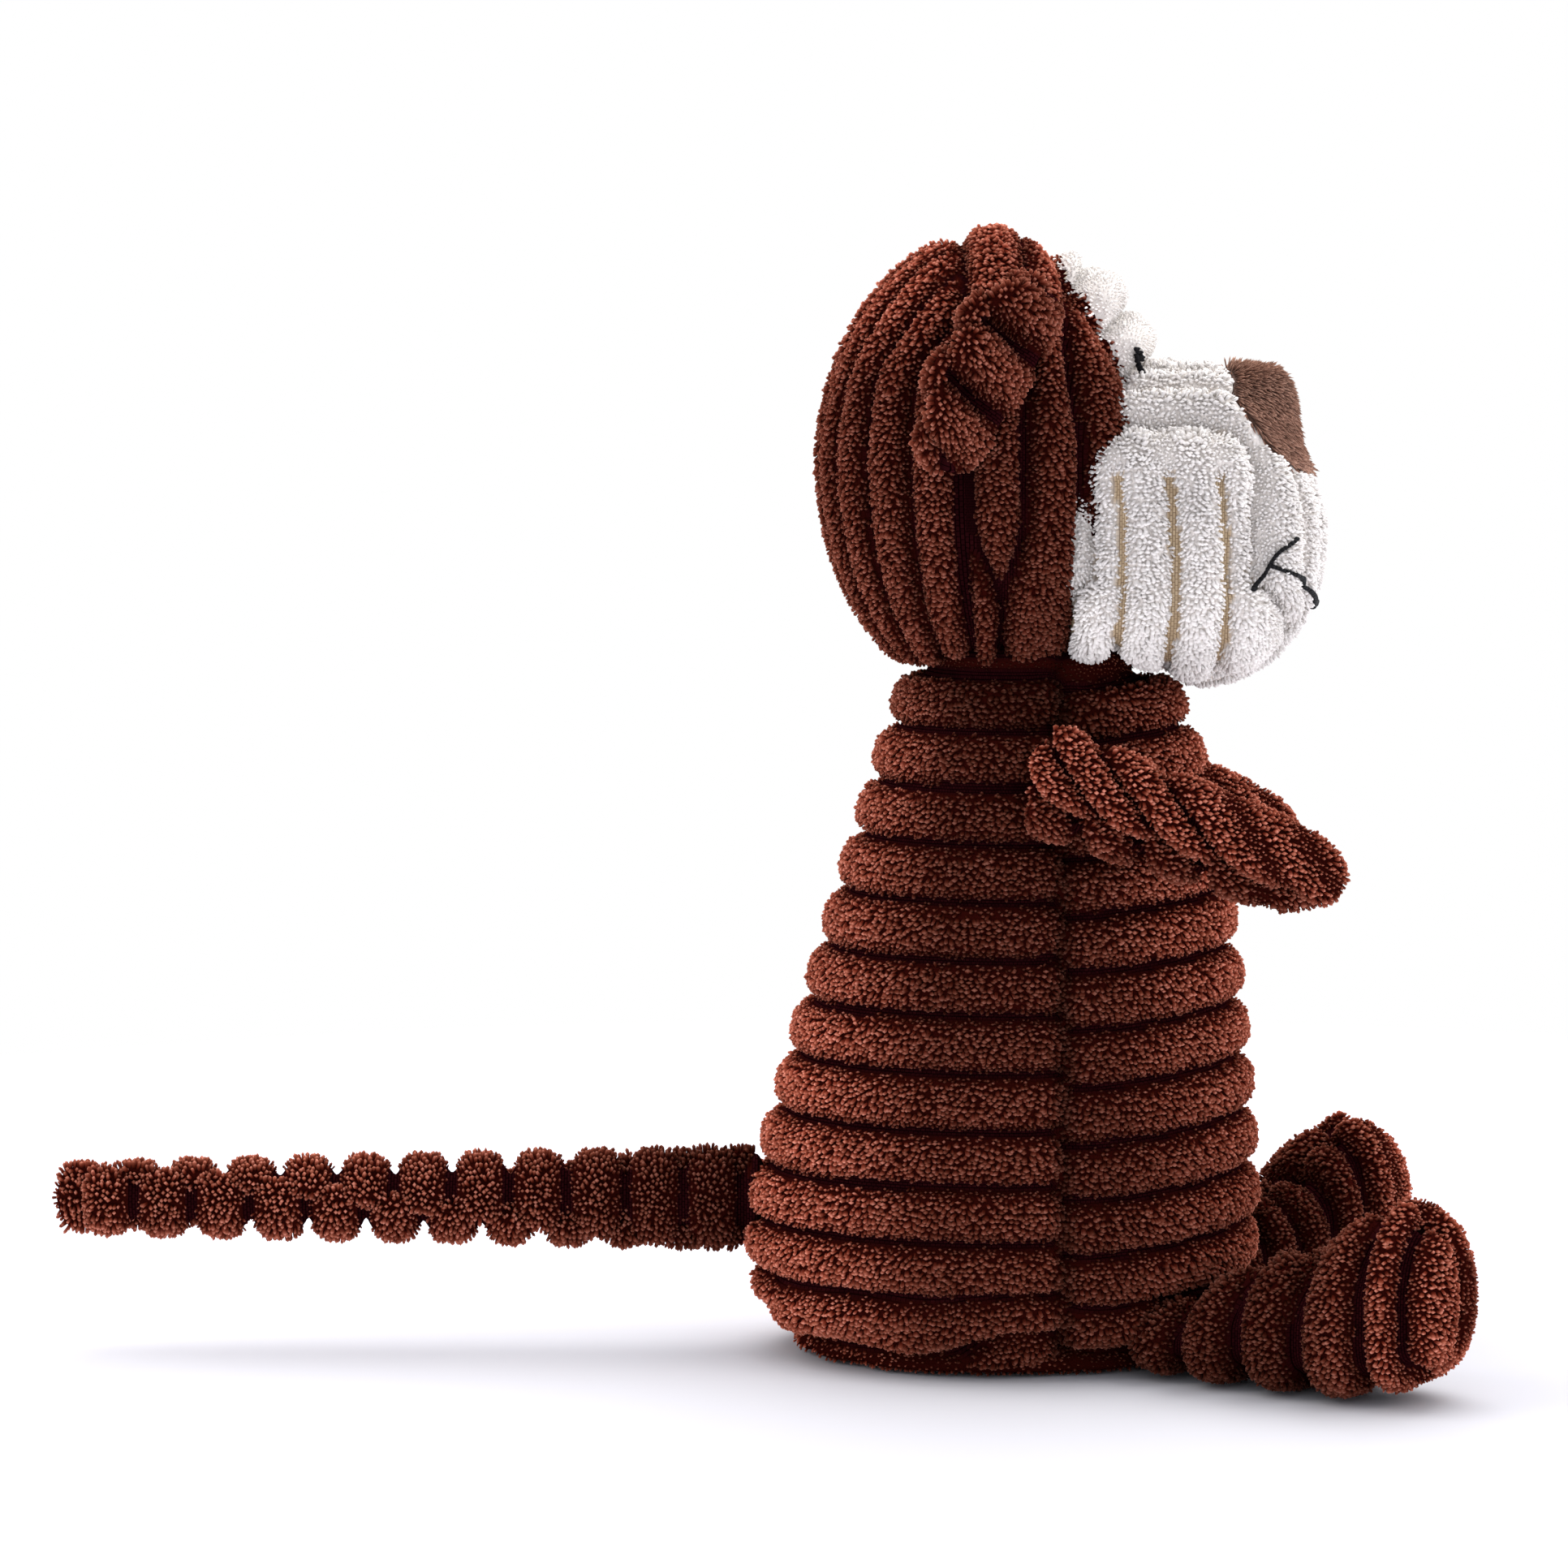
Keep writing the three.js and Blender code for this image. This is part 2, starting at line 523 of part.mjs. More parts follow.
function buildMuzzle(group) {
  const headBed = toSolid(headForm(-SEAM_GAP, 0, HEAD_FINE));
  const outside = toSolid(muzzleForm(0, WALE_DEPTH, MUZZLE_RIBS)).subtract(headBed);
  const shell = outside.subtract(toSolid(muzzleForm(COVER_WALL, 0, MUZZLE_SMOOTH)));
  const cleared = clearedThrough(shell, torsoEnvelope, Z_AXIS, -NECK_TURN, NECK_TURN, NECK_STEPS);
  const [leftCheek, rest] = splitAtSeam(cleared, Y_AXIS, CHEEK_SEAM);
  const [centre, rightCheek] = splitAtSeam(rest, Y_AXIS, -CHEEK_SEAM);
  addPiece(group, 'muzzle_cheek_right', rightCheek, CREAM_PLUSH);
  addPiece(group, 'muzzle_cheek_left', leftCheek, CREAM_PLUSH);
  addPiece(group, 'muzzle_centre_panel', centre, CREAM_PLUSH);
  const fillBed = toSolid(headForm(-SEAM_GAP - BACKING, 0, TORSO_SIDES));
  const fill = toSolid(muzzleForm(FILL_INSET, 0, MUZZLE_SMOOTH)).subtract(fillBed);
  const stuffing = clearedThrough(fill, torsoEnvelope, Z_AXIS, -NECK_TURN, NECK_TURN, NECK_STEPS);
  addPiece(group, 'muzzle_stuffing', stuffing, WHITE_FIBRE);
}

// Limbs: each is built at its joint, with its length along +X, and placed by its group

function placed(position, rotations) {
  const group = new THREE.Group();
  group.position.copy(position);
  for (const [axis, degrees] of rotations) {
    group.rotateOnAxis(axis, degToRad(degrees));
  }
  group.updateMatrixWorld();
  return group;
}

function inFrameOf(group, geometry) {
  return geometry.clone().applyMatrix4(group.matrixWorld.clone().invert());
}

function buildEar(group, name, side) {
  const up = EAR_RISE / HEAD_UP;
  const root = new THREE.Vector3(HEAD_X, side * HEAD_SIDE * Math.sqrt(1 - up ** 2), HEAD_Z + EAR_RISE);
  const ear = placed(root, [[Y_AXIS, EAR_LEAN], [Z_AXIS, side * EAR_SWEEP], [Y_AXIS, -EAR_LIFT]]);
  const half = EAR_LENGTH / 2;
  const stations = [-0.25, 0, 0.3, 0.6, 0.84, 0.97];
  const form = loft(stations.map((share) => {
    const width = half * Math.sqrt(1 - share ** 2);
    return ring(2 * LIMB_SIDES, (angle) => {
      const along = width * Math.cos(angle);
      const lobe = 0.55 + 0.45 * Math.abs(Math.cos((Math.PI * EAR_WALES * along) / EAR_LENGTH));
      const thick = (EAR_THICK / 2) * lobe * Math.min(1, width / half + 0.2);
      return new THREE.Vector3(EAR_REACH * share, thick * Math.sin(angle), along);
    });
  }));
  const headEnvelope = inFrameOf(ear, headForm(-JOINT_GAP, 0, HEAD_FINE));
  const range = [-side * EAR_FORWARD, side * EAR_BACKWARD];
  const cleared = clearedThrough(toSolid(form), headEnvelope, Z_AXIS, ...range);
  const [ahead, behind] = splitAtSeam(cleared, new THREE.Vector3(0, -side, 0), 0);
  addPiece(ear, `ear_${name}_front`, ahead, BROWN_PLUSH);
  addPiece(ear, `ear_${name}_back`, behind, BROWN_PLUSH);
  group.add(ear);
}

function armForm(side, inset, ribbed) {
  const start = ribbed ? -WALE_PITCH : -2 * WALE_PITCH;
  const end = ARM_LENGTH - inset - THREAD_RADIUS;
  const stations = ribbed ? ribStations(start, end, WALE_PITCH) : evenStations(start, end);
  return loft(stations.map(({ at, dip }) => {
    const share = clamp(at / ARM_LENGTH, 0, 1);
    const tip = Math.sqrt(1 - share ** 8);
    const draw = inset + dip * WALE_DEPTH * tip;
    const tall = Math.max(lerp(ARM_ROOT_HALF, ARM_HAND_HALF, share ** 2) * tip - draw, THREAD_RADIUS / 2);
    const swell = 0.75 + 0.25 * Math.sin(Math.PI * share);
    const thick = Math.max(ARM_HALF_THICK * swell * tip - draw, THREAD_RADIUS / 2);
    const aside = side * ARM_HALF_THICK / 2;
    return ring(LIMB_SIDES, (angle) => {
      return new THREE.Vector3(at, aside + thick * Math.cos(angle), tall * Math.sin(angle));
    });
  }));
}

function buildArm(group, name, side) {
  const reach = torsoReach(ARM_HEIGHT);
  const surface = reach.side * Math.sqrt(1 - (ARM_X / reach.front) ** 2) + JOINT_GAP;
  const shoulder = new THREE.Vector3(ARM_X, side * surface, ARM_HEIGHT);
  const arm = placed(shoulder, [[Z_AXIS, side * ARM_SPREAD], [Y_AXIS, ARM_DROOP]]);
  const torso = inFrameOf(arm, torsoEnvelope);
  const range = [-side * ARM_IN, side * ARM_OUT];
  const ahead = halfSpace(X_AXIS, 0);
  const clear = (form) => clearedThrough(form, torso, Z_AXIS, ...range).intersect(ahead);
  const hollow = toSolid(armForm(side, COVER_WALL, false));
  const cover = clear(toSolid(armForm(side, 0, true)).subtract(hollow));
  const [upper, lower] = splitAtSeam(cover, Z_AXIS, 0);
  addPiece(arm, `arm_${name}_upper_panel`, upper, BROWN_PLUSH);
  addPiece(arm, `arm_${name}_lower_panel`, lower, BROWN_PLUSH);
  addPiece(arm, `arm_${name}_stuffing`, clear(toSolid(armForm(side, FILL_INSET, false))), WHITE_FIBRE);
  group.add(arm);
}

function legForm(inset, ribbed) {
  const start = ribbed ? -LEG_PITCH : -2 * LEG_PITCH;
  const end = LEG_LENGTH - THREAD_RADIUS;
  const stations = ribbed ? ribStations(start, end, LEG_PITCH) : evenStations(start, end);
  return loft(stations.map(({ at, dip }) => {
    const share = clamp(at / LEG_LENGTH, 0, 1);
    const toe = Math.sqrt(1 - share ** 8);
    const draw = inset + dip * WALE_DEPTH * toe;
    const shin = SHIN_RISE * smoothstep(share, 0, SHIN_FULL);
    const foot = FOOT_RISE * smoothstep(share, FOOT_START, FOOT_FULL);
    const tall = LEG_ROOT_TALL + shin + foot + LEG_PRESS;
    const wide = lerp(LEG_ROOT_WIDTH, FOOT_WIDTH, Math.sqrt(share));
    const middle = tall / 2 - LEG_PRESS - HIP_HEIGHT;
    const up = Math.max((tall / 2) * toe - draw, THREAD_RADIUS / 2);
    const aside = Math.max((wide / 2) * toe - draw, THREAD_RADIUS / 2);
    return ring(LIMB_SIDES, (angle) => {
      const along = at - inset * share;
      return new THREE.Vector3(along, aside * Math.cos(angle), middle + up * Math.sin(angle));
    });
  }));
}

function buildLeg(group, name, side) {
  const hip = new THREE.Vector3(HIP_X, side * HIP_Y, HIP_HEIGHT);
  const leg = placed(hip, [[Z_AXIS, side * LEG_SPLAY]]);
  const torso = inFrameOf(leg, torsoEnvelope);
  const aboveFloor = halfSpace(Z_AXIS, -HIP_HEIGHT);
  const clear = (form) => clearedThrough(form, torso, Y_AXIS, -LEG_UP, LEG_DOWN).intersect(aboveFloor);
  const hollow = toSolid(legForm(COVER_WALL, false));
  const cover = clear(toSolid(legForm(0, true)).subtract(hollow));
  const [outer, inner] = splitAtSeam(cover, new THREE.Vector3(0, side, 0), 0);
  addPiece(leg, `leg_${name}_outer_panel`, outer, BROWN_PLUSH);
  addPiece(leg, `leg_${name}_inner_panel`, inner, BROWN_PLUSH);
  addPiece(leg, `leg_${name}_stuffing`, clear(toSolid(legForm(FILL_INSET, false))), WHITE_FIBRE);
  group.add(leg);
}

// One layer of the tail: half of each round section, on one side of the winding seam.
function tailLayer(shift, flip) {
  const length = TAIL_LOBES * TAIL_PITCH;
  const stations = ribStations(-TAIL_PITCH * (1 - shift), length - TAIL_PITCH * shift, TAIL_PITCH);
  const arc = LIMB_SIDES / 2;
  return loft(stations.map(({ at, dip }) => {
    const share = clamp(at / length, 0, 1);
    const size = dip ? TAIL_NIP : 1;
    const tall = lerp(TAIL_ROOT_HALF, TAIL_TIP_HALF, share) * size;
    const thick = TAIL_HALF_THICK * size;
    const seam = degToRad(TAIL_TWIST * (share - 0.5) + flip);
    const apart = new THREE.Vector3(0, Math.sin(seam), Math.cos(seam)).multiplyScalar(SEAM_GAP / 2);
    return Array.from({ length: arc + 1 }, (_, k) => {
      const angle = seam + (Math.PI * k) / arc;
      return new THREE.Vector3(-at, -thick * Math.cos(angle), tall * Math.sin(angle)).add(apart);
    });
  }));
}

function buildTail(group) {
  const root = new THREE.Vector3(-torsoReach(TAIL_HEIGHT).back - JOINT_GAP, 0, TAIL_HEIGHT);
  const tail = placed(root, []);
  const torso = inFrameOf(tail, torsoEnvelope);
  const clear = (form) => clearedThrough(toSolid(form), torso, Z_AXIS, -TAIL_WAG, TAIL_WAG);
  addPiece(tail, 'tail_upper_layer', clear(tailLayer(0, 0)), BROWN_PLUSH);
  addPiece(tail, 'tail_lower_layer', clear(tailLayer(0.5, 180)), BROWN_PLUSH);
  group.add(tail);
}

const monkey = new THREE.Group();
buildTorso(monkey);
buildHead(monkey);
buildMuzzle(monkey);
buildNose(monkey);
buildEyes(monkey);
buildMouth(monkey);
for (const [name, side] of SIDES) {
  buildEar(monkey, name, side);
  buildArm(monkey, name, side);
  buildLeg(monkey, name, side);
}
buildTail(monkey);

export default monkey;
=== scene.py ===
import math

import bmesh
import bpy
import numpy as np
from mathutils import Matrix, Vector
from mathutils.bvhtree import BVHTree
from numpy import arctan2, array, cos, hypot, linspace, maximum, minimum, sign, sin, sqrt, where


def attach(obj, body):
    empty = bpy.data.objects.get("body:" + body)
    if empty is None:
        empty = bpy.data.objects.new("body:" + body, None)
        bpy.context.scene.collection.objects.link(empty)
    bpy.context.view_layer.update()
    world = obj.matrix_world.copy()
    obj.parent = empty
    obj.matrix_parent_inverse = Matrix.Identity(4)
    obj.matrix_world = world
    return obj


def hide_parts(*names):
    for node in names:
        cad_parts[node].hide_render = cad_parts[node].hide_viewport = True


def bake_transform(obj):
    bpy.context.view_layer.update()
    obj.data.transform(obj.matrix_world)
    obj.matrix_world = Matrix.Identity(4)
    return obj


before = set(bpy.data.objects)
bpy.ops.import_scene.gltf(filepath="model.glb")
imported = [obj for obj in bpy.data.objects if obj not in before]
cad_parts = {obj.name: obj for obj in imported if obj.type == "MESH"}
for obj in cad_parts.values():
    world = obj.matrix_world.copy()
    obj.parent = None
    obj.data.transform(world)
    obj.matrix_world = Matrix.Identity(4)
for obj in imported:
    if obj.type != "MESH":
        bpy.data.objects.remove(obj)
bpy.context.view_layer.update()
MM = 0.001
SIDES = (("right", -1), ("left", 1))

# Cord plush
WALE = 11.2  # one rib with the groove beside it
RIB_DEPTH = 2.7  # rib crest above the bare groove
BARE = 1.0  # half the bare strip of backing in a groove
PILE_RISE = 1.3  # pile tips above the backing
SWELL = 2.0  # how far the filling pushes a cover out between its seams
LIMB_SWELL = 1.0  # the same on arms and legs
INSET = PILE_RISE + SWELL  # a cover starts this far inside the tips of its pile
LIMB_INSET = PILE_RISE + LIMB_SWELL
FLOOR_GAP = 1.2  # backing above the floor, with pile under it
AWAY = 60  # farther than the dip of any seam reaches
PRESSURE, CLOTH_STEPS = 4, 20

# Torso
TORSO_HEIGHT = 140.5
BELLY_HEIGHT = 28
BELLY_BACK, BELLY_FRONT, BELLY_SIDE = 53.5, 53.5, 42.5
NECK_BACK, NECK_FRONT, NECK_SIDE = 21, 31, 26
BACK_BOW, FRONT_BOW, SIDE_BOW = 1.1, 1.5, 1.4  # outlines from belly to neck, 1 is straight
NECK_CAP = 8  # the neck's dome, inside the head
SEAT_EDGE, SEAT_TUCK, SEAT_Z = 6, 0.6, 3.4  # hem, draw, and where it turns under
SEAT_LIFT, SEAT_ROUND, SEAT_DEPTH = 1.4, 12, 1.2  # dish, rounded edge, depth of ribs
HEM_GATHER = (8, 14)  # crumples: full up to a height, gone so far above it
SIDE_SEAM_X = 11
FRONT_SAG = 2.9  # how far the front ribs drop towards the side seam

# Head
HEAD_X, HEAD_Z = -4, 183
HEAD_BACK, HEAD_FRONT, HEAD_SIDE, HEAD_UP, HEAD_DOWN = 34.8, 36, 40, 46.5, 50
HEAD_FLAT = 0.035  # how much flatter than an oval the back of the head is
HEAD_TURNS = (-30, -15, 0, 15, 30)  # degrees through which it clears the chest
HEAD_RIB_TURN = 18  # degrees from groove to groove on the back of the head
HEAD_RIB_HALF = 6.0  # half its widest rib
HEAD_RIB_DEEP = 1.35  # its grooves over the torso's
CROWN_AHEAD, CROWN_RISE = 13, (196, 26)  # the ribs bend ahead to meet on top: from a height, over a run
BAND_GROOVES = (-9, 3.3, 15.0)  # grooves of the band over the top of the head, as x
DART_X, DART_Z, DART_TOP = -1.5, 150, 172  # dart below the ear: its point, and its top
FACE_TILT, FACE_DEPTH = 29, 31.2  # plane that cuts off the forehead: degrees above level, distance
BROW_TURN, BROW_FROM = 15.7, 30.7  # degrees from lump to lump up the forehead
BROW_SWELL, BROW_SINK, EYE_LIFT = 6.6, 1.8, 3.0  # lumps, grooves, and the flat under an eye
EYE_AT, EYE_DIMPLE = (26.8, 18.5, 200.9), 4.0
EYE_TURN, EYE_HALF, EYE_TALL, EYE_REACH = 31, 2.1, 2.7, 37.5  # degrees aside, half sizes, reach

# Muzzle
MUZZLE_FRONT, MUZZLE_LENGTH, MUZZLE_Z = 65.5, 56.5, 168
MUZZLE_SIDE, MUZZLE_TALL, CHIN_TALL = 36, 34.5, 32.5
MUZZLE_ROUND, MUZZLE_BROW = 27, 7  # length of the rounded front, below and above
BACK_ROUND, BACK_TUCK = 16, 0.25  # the muzzle's back edge draws in
MUZZLE_SQUARE, BRIDGE_SQUARE, MUZZLE_FULL = 2.8, 2.2, 2.4  # powers of its curves, 2 is round
NOSE_LEAN = 3.4  # how far the front leans back at the nose
CHEEK_SEAM, BROW_SEAM, CHIN_SEAM = 30.5, 27, 13
CHEEK_GROOVE, CHEEK_PITCH, CHEEK_DEPTH, CHEEK_BARE = 20.2, 10.65, 2.8, 1.35
CHEEK_TOP, CHEEK_END, CHEEK_BOW = 181, 49, 1.6  # the ribs end at a height and an x, and bow
CENTRE_RIBS, CENTRE_DEPTH, CENTRE_BARE = 3.5, 2.6, 0.5  # ribs from the middle to the cheek's seam
NOSE_EDGE = array([  # half the patch's outline, from its top's middle to its point
    (44.5, 0, 202), (44.8, 12, 200), (46, 22.3, 195.4), (50, 25.3, 190.5), (54, 25.3, 186.5), (59.5, 19, 183),
    (62.4, 12.3, 181.5), (63.5, 0, 180)])
NOSE_MIDDLE, NOSE_CORE, NOSE_HEART = (array(at) for at in ((56, 0, 196), (46, 0, 178), (48, 0, 188)))
SMILE_HALF, SMILE_X, SMILE_BACK, SMILE_Z, SMILE_RISE = 26, 70, 18, 149.5, 12
DIMPLE_ENDS = ((48.5, 54.5), (31.5, 25.0), (157.5, 167.0))  # of x, of y and of z
MOUTH_THREAD, EYE_THREAD = (0.55, 0.8), (0.45, 0.8)  # radius and stitch

# Ears, arms, legs and tail
EAR_LENGTH, EAR_REACH, EAR_THICK = 44, 22, 15
EAR_RISE, EAR_LEAN, EAR_SWEEP, EAR_LIFT = 15.5, 25, 122, 12  # root above the head's middle, then degrees
EAR_PITCH, EAR_DEPTH, EAR_BARE = 14, 6.5, 1.4
ARM_LENGTH, ARM_ROOT, ARM_HAND, ARM_THICK = 65, 12.2, 9.8, 8.5
ARM_X, ARM_Z, ARM_SPREAD, ARM_DROOP, ARM_GAP = 5, 121, 11, 19, 0.35
ARM_SEAM = -4.5  # the arm's outer seam, above its middle
ARM_GROOVE, ARM_PITCH, ARM_DEPTH = 43, 13, 3.2
LEG_LENGTH, LEG_ROOT_TALL, SHIN_RISE, FOOT_RISE = 62.5, 17, 11, 15.5
LEG_ROOT_WIDE, FOOT_WIDE = 34, 36
HIP_X, HIP_Y, HIP_HEIGHT, LEG_SPLAY = 36, 24.5, 8, 35
LEG_GROOVE, LEG_PITCH, LEG_DEPTH = 6, 13.5, 3.4
TOE_FROM, TOE_PITCH = 46.5, 9.0  # narrower ribs from here on
INNER_GROOVE, INNER_PITCH = 24.5, 9.2
TAIL_LOBES, TAIL_PITCH, TAIL_X, TAIL_Z = 12, 11.8, -53.25, 31
TAIL_ROOT, TAIL_TIP, TAIL_THICK, TAIL_TWIST = 11, 7.5, 7, 180
TAIL_NIP, TAIL_FULL = 0.36, 2.8  # groove size over lobe size, and the lobe's roundness


# Small sums

def clamp01(value):
    return np.clip(value, 0.0, 1.0)


def smooth(value):
    share = clamp01(value)
    return share * share * (3 - 2 * share)


def past(value, start, run):
    """A soft step from 0 at a start to 1 after a run, which is negative where it steps downwards."""
    return smooth((value - start) / run)


def lerp(a, b, share):
    return a + (b - a) * share


def grade(a, b, value, start, run):
    return lerp(a, b, past(value, start, run))


def hump(distance, width):
    return np.exp(-((distance / width) ** 2))


def stack(*columns):
    return np.stack(np.broadcast_arrays(*columns), axis=-1).astype(float)


def from_groove(phase, pitch):
    """Millimetres from the nearest groove, where each whole phase is a groove."""
    return np.abs(phase - np.round(phase)) * pitch


def rib(distance, half, bare=BARE, depth=RIB_DEPTH):
    """Lift of a rounded rib at a distance from the middle of its groove: 0 on the crest."""
    share = clamp01((distance - bare) / (half - bare))
    return depth * (sqrt(1 - (1 - share) ** 2.6) - 1)


def short_by(gap):
    """Tuft size at a distance from a groove: the pile is shorter along a rib's edges."""
    return grade(0.65, 1.0, gap, BARE, 2.5)


def placed(position, turns):
    """Frame of a limb, as turns about its own axes after it is moved to its joint."""
    matrix = Matrix.Translation(position)
    for axis, degrees in turns:
        matrix = matrix @ Matrix.Rotation(math.radians(degrees), 4, axis)
    return array(matrix)


def to_world(limb, points):
    return points @ limb[:3, :3].T + limb[:3, 3]


def to_local(limb, points):
    return (points - limb[:3, 3]) @ limb[:3, :3]


# Meshes

def to_object(bm, name):
    mesh = bpy.data.meshes.new(name)
    bm.to_mesh(mesh)
    bm.free()
    mesh.shade_smooth()
    piece = bpy.data.objects.new(name, mesh)
    bpy.context.scene.collection.objects.link(piece)
    return piece


def skin(name, columns, rows, place):
    """Fabric wrapped into a closed form: place gives its points for the turn round it and v, end to end."""
    bm = bmesh.new()
    bmesh.ops.create_grid(bm, x_segments=columns, y_segments=rows, size=0.5)
    chart = bm.loops.layers.uv.new("OFBake")
    for face in bm.faces:
        for loop in face.loops:
            loop[chart].uv = loop.vert.co.xy + Vector((0.5, 0.5))
    flat = array([vert.co[:2] for vert in bm.verts]) + 0.5
    for vert, point in zip(bm.verts, place(2 * np.pi * flat[:, 0], flat[:, 1]) * MM):
        vert.co = point
    bmesh.ops.remove_doubles(bm, verts=bm.verts, dist=1e-6)
    bmesh.ops.recalc_face_normals(bm, faces=bm.faces)
    return to_object(bm, name)


def read(items, field, width):
    values = np.empty(width * len(items), np.float32)
    items.foreach_get(field, values)
    return values.reshape(-1, width).astype(float)


def points_of(piece):
    return read(piece.data.vertices, "co", 3) / MM


def set_points(piece, points):
    piece.data.vertices.foreach_set("co", (points * MM).astype(np.float32).ravel())
    piece.data.update()


def normals_of(piece):
    return read(piece.data.vertices, "normal", 3)


def note(piece, name, values):
    """Keeps a number or a vector for each vertex of a piece."""
    kind, field = ("FLOAT", "value") if values.ndim == 1 else ("FLOAT_VECTOR", "vector")
    layer = piece.data.attributes.get(name) or piece.data.attributes.new(name, kind, "POINT")
    layer.data.foreach_set(field, values.astype(np.float32).ravel())


def applied(piece):
    """Makes a piece's modifiers part of its mesh."""
    graph = bpy.context.evaluated_depsgraph_get()
    mesh = bpy.data.meshes.new_from_object(
        piece.evaluated_get(graph), preserve_all_data_layers=True, depsgraph=graph)
    piece.modifiers.clear()
    piece.data = mesh


def stuffed(piece, held, swell=SWELL):
    """Fills a cover: cloth under pressure, held along its seams, that swells by no more than a set amount."""
    before = points_of(piece)
    seams = piece.vertex_groups.new(name="seams")
    for index in np.nonzero(held > 0.01)[0]:
        seams.add([int(index)], float(held[index]), "REPLACE")
    cloth = piece.modifiers.new("filling", "CLOTH")
    cloth.settings.use_pressure = True
    cloth.settings.uniform_pressure_force = PRESSURE
    cloth.settings.effector_weights.gravity = 0
    cloth.settings.vertex_group_mass = seams.name
    scene = bpy.context.scene
    for step in range(1, CLOTH_STEPS + 1):
        scene.frame_set(step)
    graph = bpy.context.evaluated_depsgraph_get()
    move = read(piece.evaluated_get(graph).data.vertices, "co", 3) / MM - before
    length = np.linalg.norm(move, axis=1)
    move *= minimum(1, swell / maximum(length, 1e-6))[:, None]
    piece.modifiers.remove(cloth)
    piece.vertex_groups.remove(seams)
    scene.frame_set(1)
    outward = normals_of(piece)
    short = swell - np.average(np.sum(move * outward, axis=1), weights=1.001 - held)
    set_points(piece, before + move + outward * (short * (1 - held))[:, None])


def finer(piece):
    subdivision = piece.modifiers.new("finer", "SUBSURF")
    subdivision.levels = subdivision.render_levels = 1
    applied(piece)


def quilted(piece, fabric):
    """Gives a cover its ribs and seams, and notes where and how the pile stands on it. fabric(points) gives
    lift, bare (1 with no pile), weave (along, across), lean, tuft size, tone with painted light and shade,
    and each panel's points."""
    points = points_of(piece)
    cloth = fabric(points)
    each = np.ones(len(points))
    set_points(piece, points + normals_of(piece) * (each * cloth["lift"])[:, None])
    note(piece, "nap", normals_of(piece) + cloth["lean"])
    note(piece, "tuft", each * cloth["tuft"])
    # Pile colour factor: the panel's tone with its painted light, sheen and shade.
    note(piece, "tone", each * cloth["tone"])
    note(piece, "weave", stack(*cloth["weave"], 0.0))
    covered = each - clamp01(cloth["bare"])
    note(piece, "covered", covered)
    for panel, share in cloth["panels"].items():
        note(piece, panel, covered * share)


def sewn(cover, fabric, backing):
    finer(cover)
    quilted(cover, fabric)
    cover.data.materials.append(backing)


def off_floor(cover):
    points = points_of(cover)
    points[:, 2] = maximum(points[:, 2], FLOOR_GAP)
    set_points(cover, points)


# Nodes and materials

def linear(hex_colour):
    channels = [int(hex_colour[i:i + 2], 16) / 255 for i in (1, 3, 5)]
    return (*[c / 12.92 if c <= 0.04045 else ((c + 0.055) / 1.055) ** 2.4 for c in channels], 1.0)


def feed(tree, node, inputs):
    """Sets a node's inputs, each to a value, or to the output socket or node that feeds it."""
    for key, value in dict(inputs).items():
        named = [s for s in node.inputs if s.enabled and s.name == key]
        socket = node.inputs[key] if isinstance(key, int) else named[0]
        if isinstance(value, bpy.types.Node):
            value = next(s for s in value.outputs if s.enabled)
        if isinstance(value, bpy.types.NodeSocket):
            tree.links.new(value, socket)
        else:
            socket.default_value = value


def add(tree, kind, inputs=(), stops=(), **settings):
    """Adds a node with its settings and links, a shader's by its short name and any other by its whole one.
    The stops of a colour ramp are pairs of place and hex colour."""
    node = tree.nodes.new(kind if "Node" in kind else f"ShaderNode{kind}")
    for name, value in settings.items():
        setattr(node, name, value)
    elements = node.color_ramp.elements if stops else []
    while len(elements) < len(stops):
        elements.new(0.5)
    for element, (place, colour) in zip(elements, stops):
        element.position = place
        element.color = linear(colour)
    feed(tree, node, inputs)
    return node


def new_material(name, **shader):
    material = bpy.data.materials.new(name)
    material.use_nodes = True
    tree = material.node_tree
    surface = tree.nodes["Principled BSDF"]
    for socket, value in shader.items():
        surface.inputs[socket.replace("_", " ")].default_value = value
    return material, tree, surface


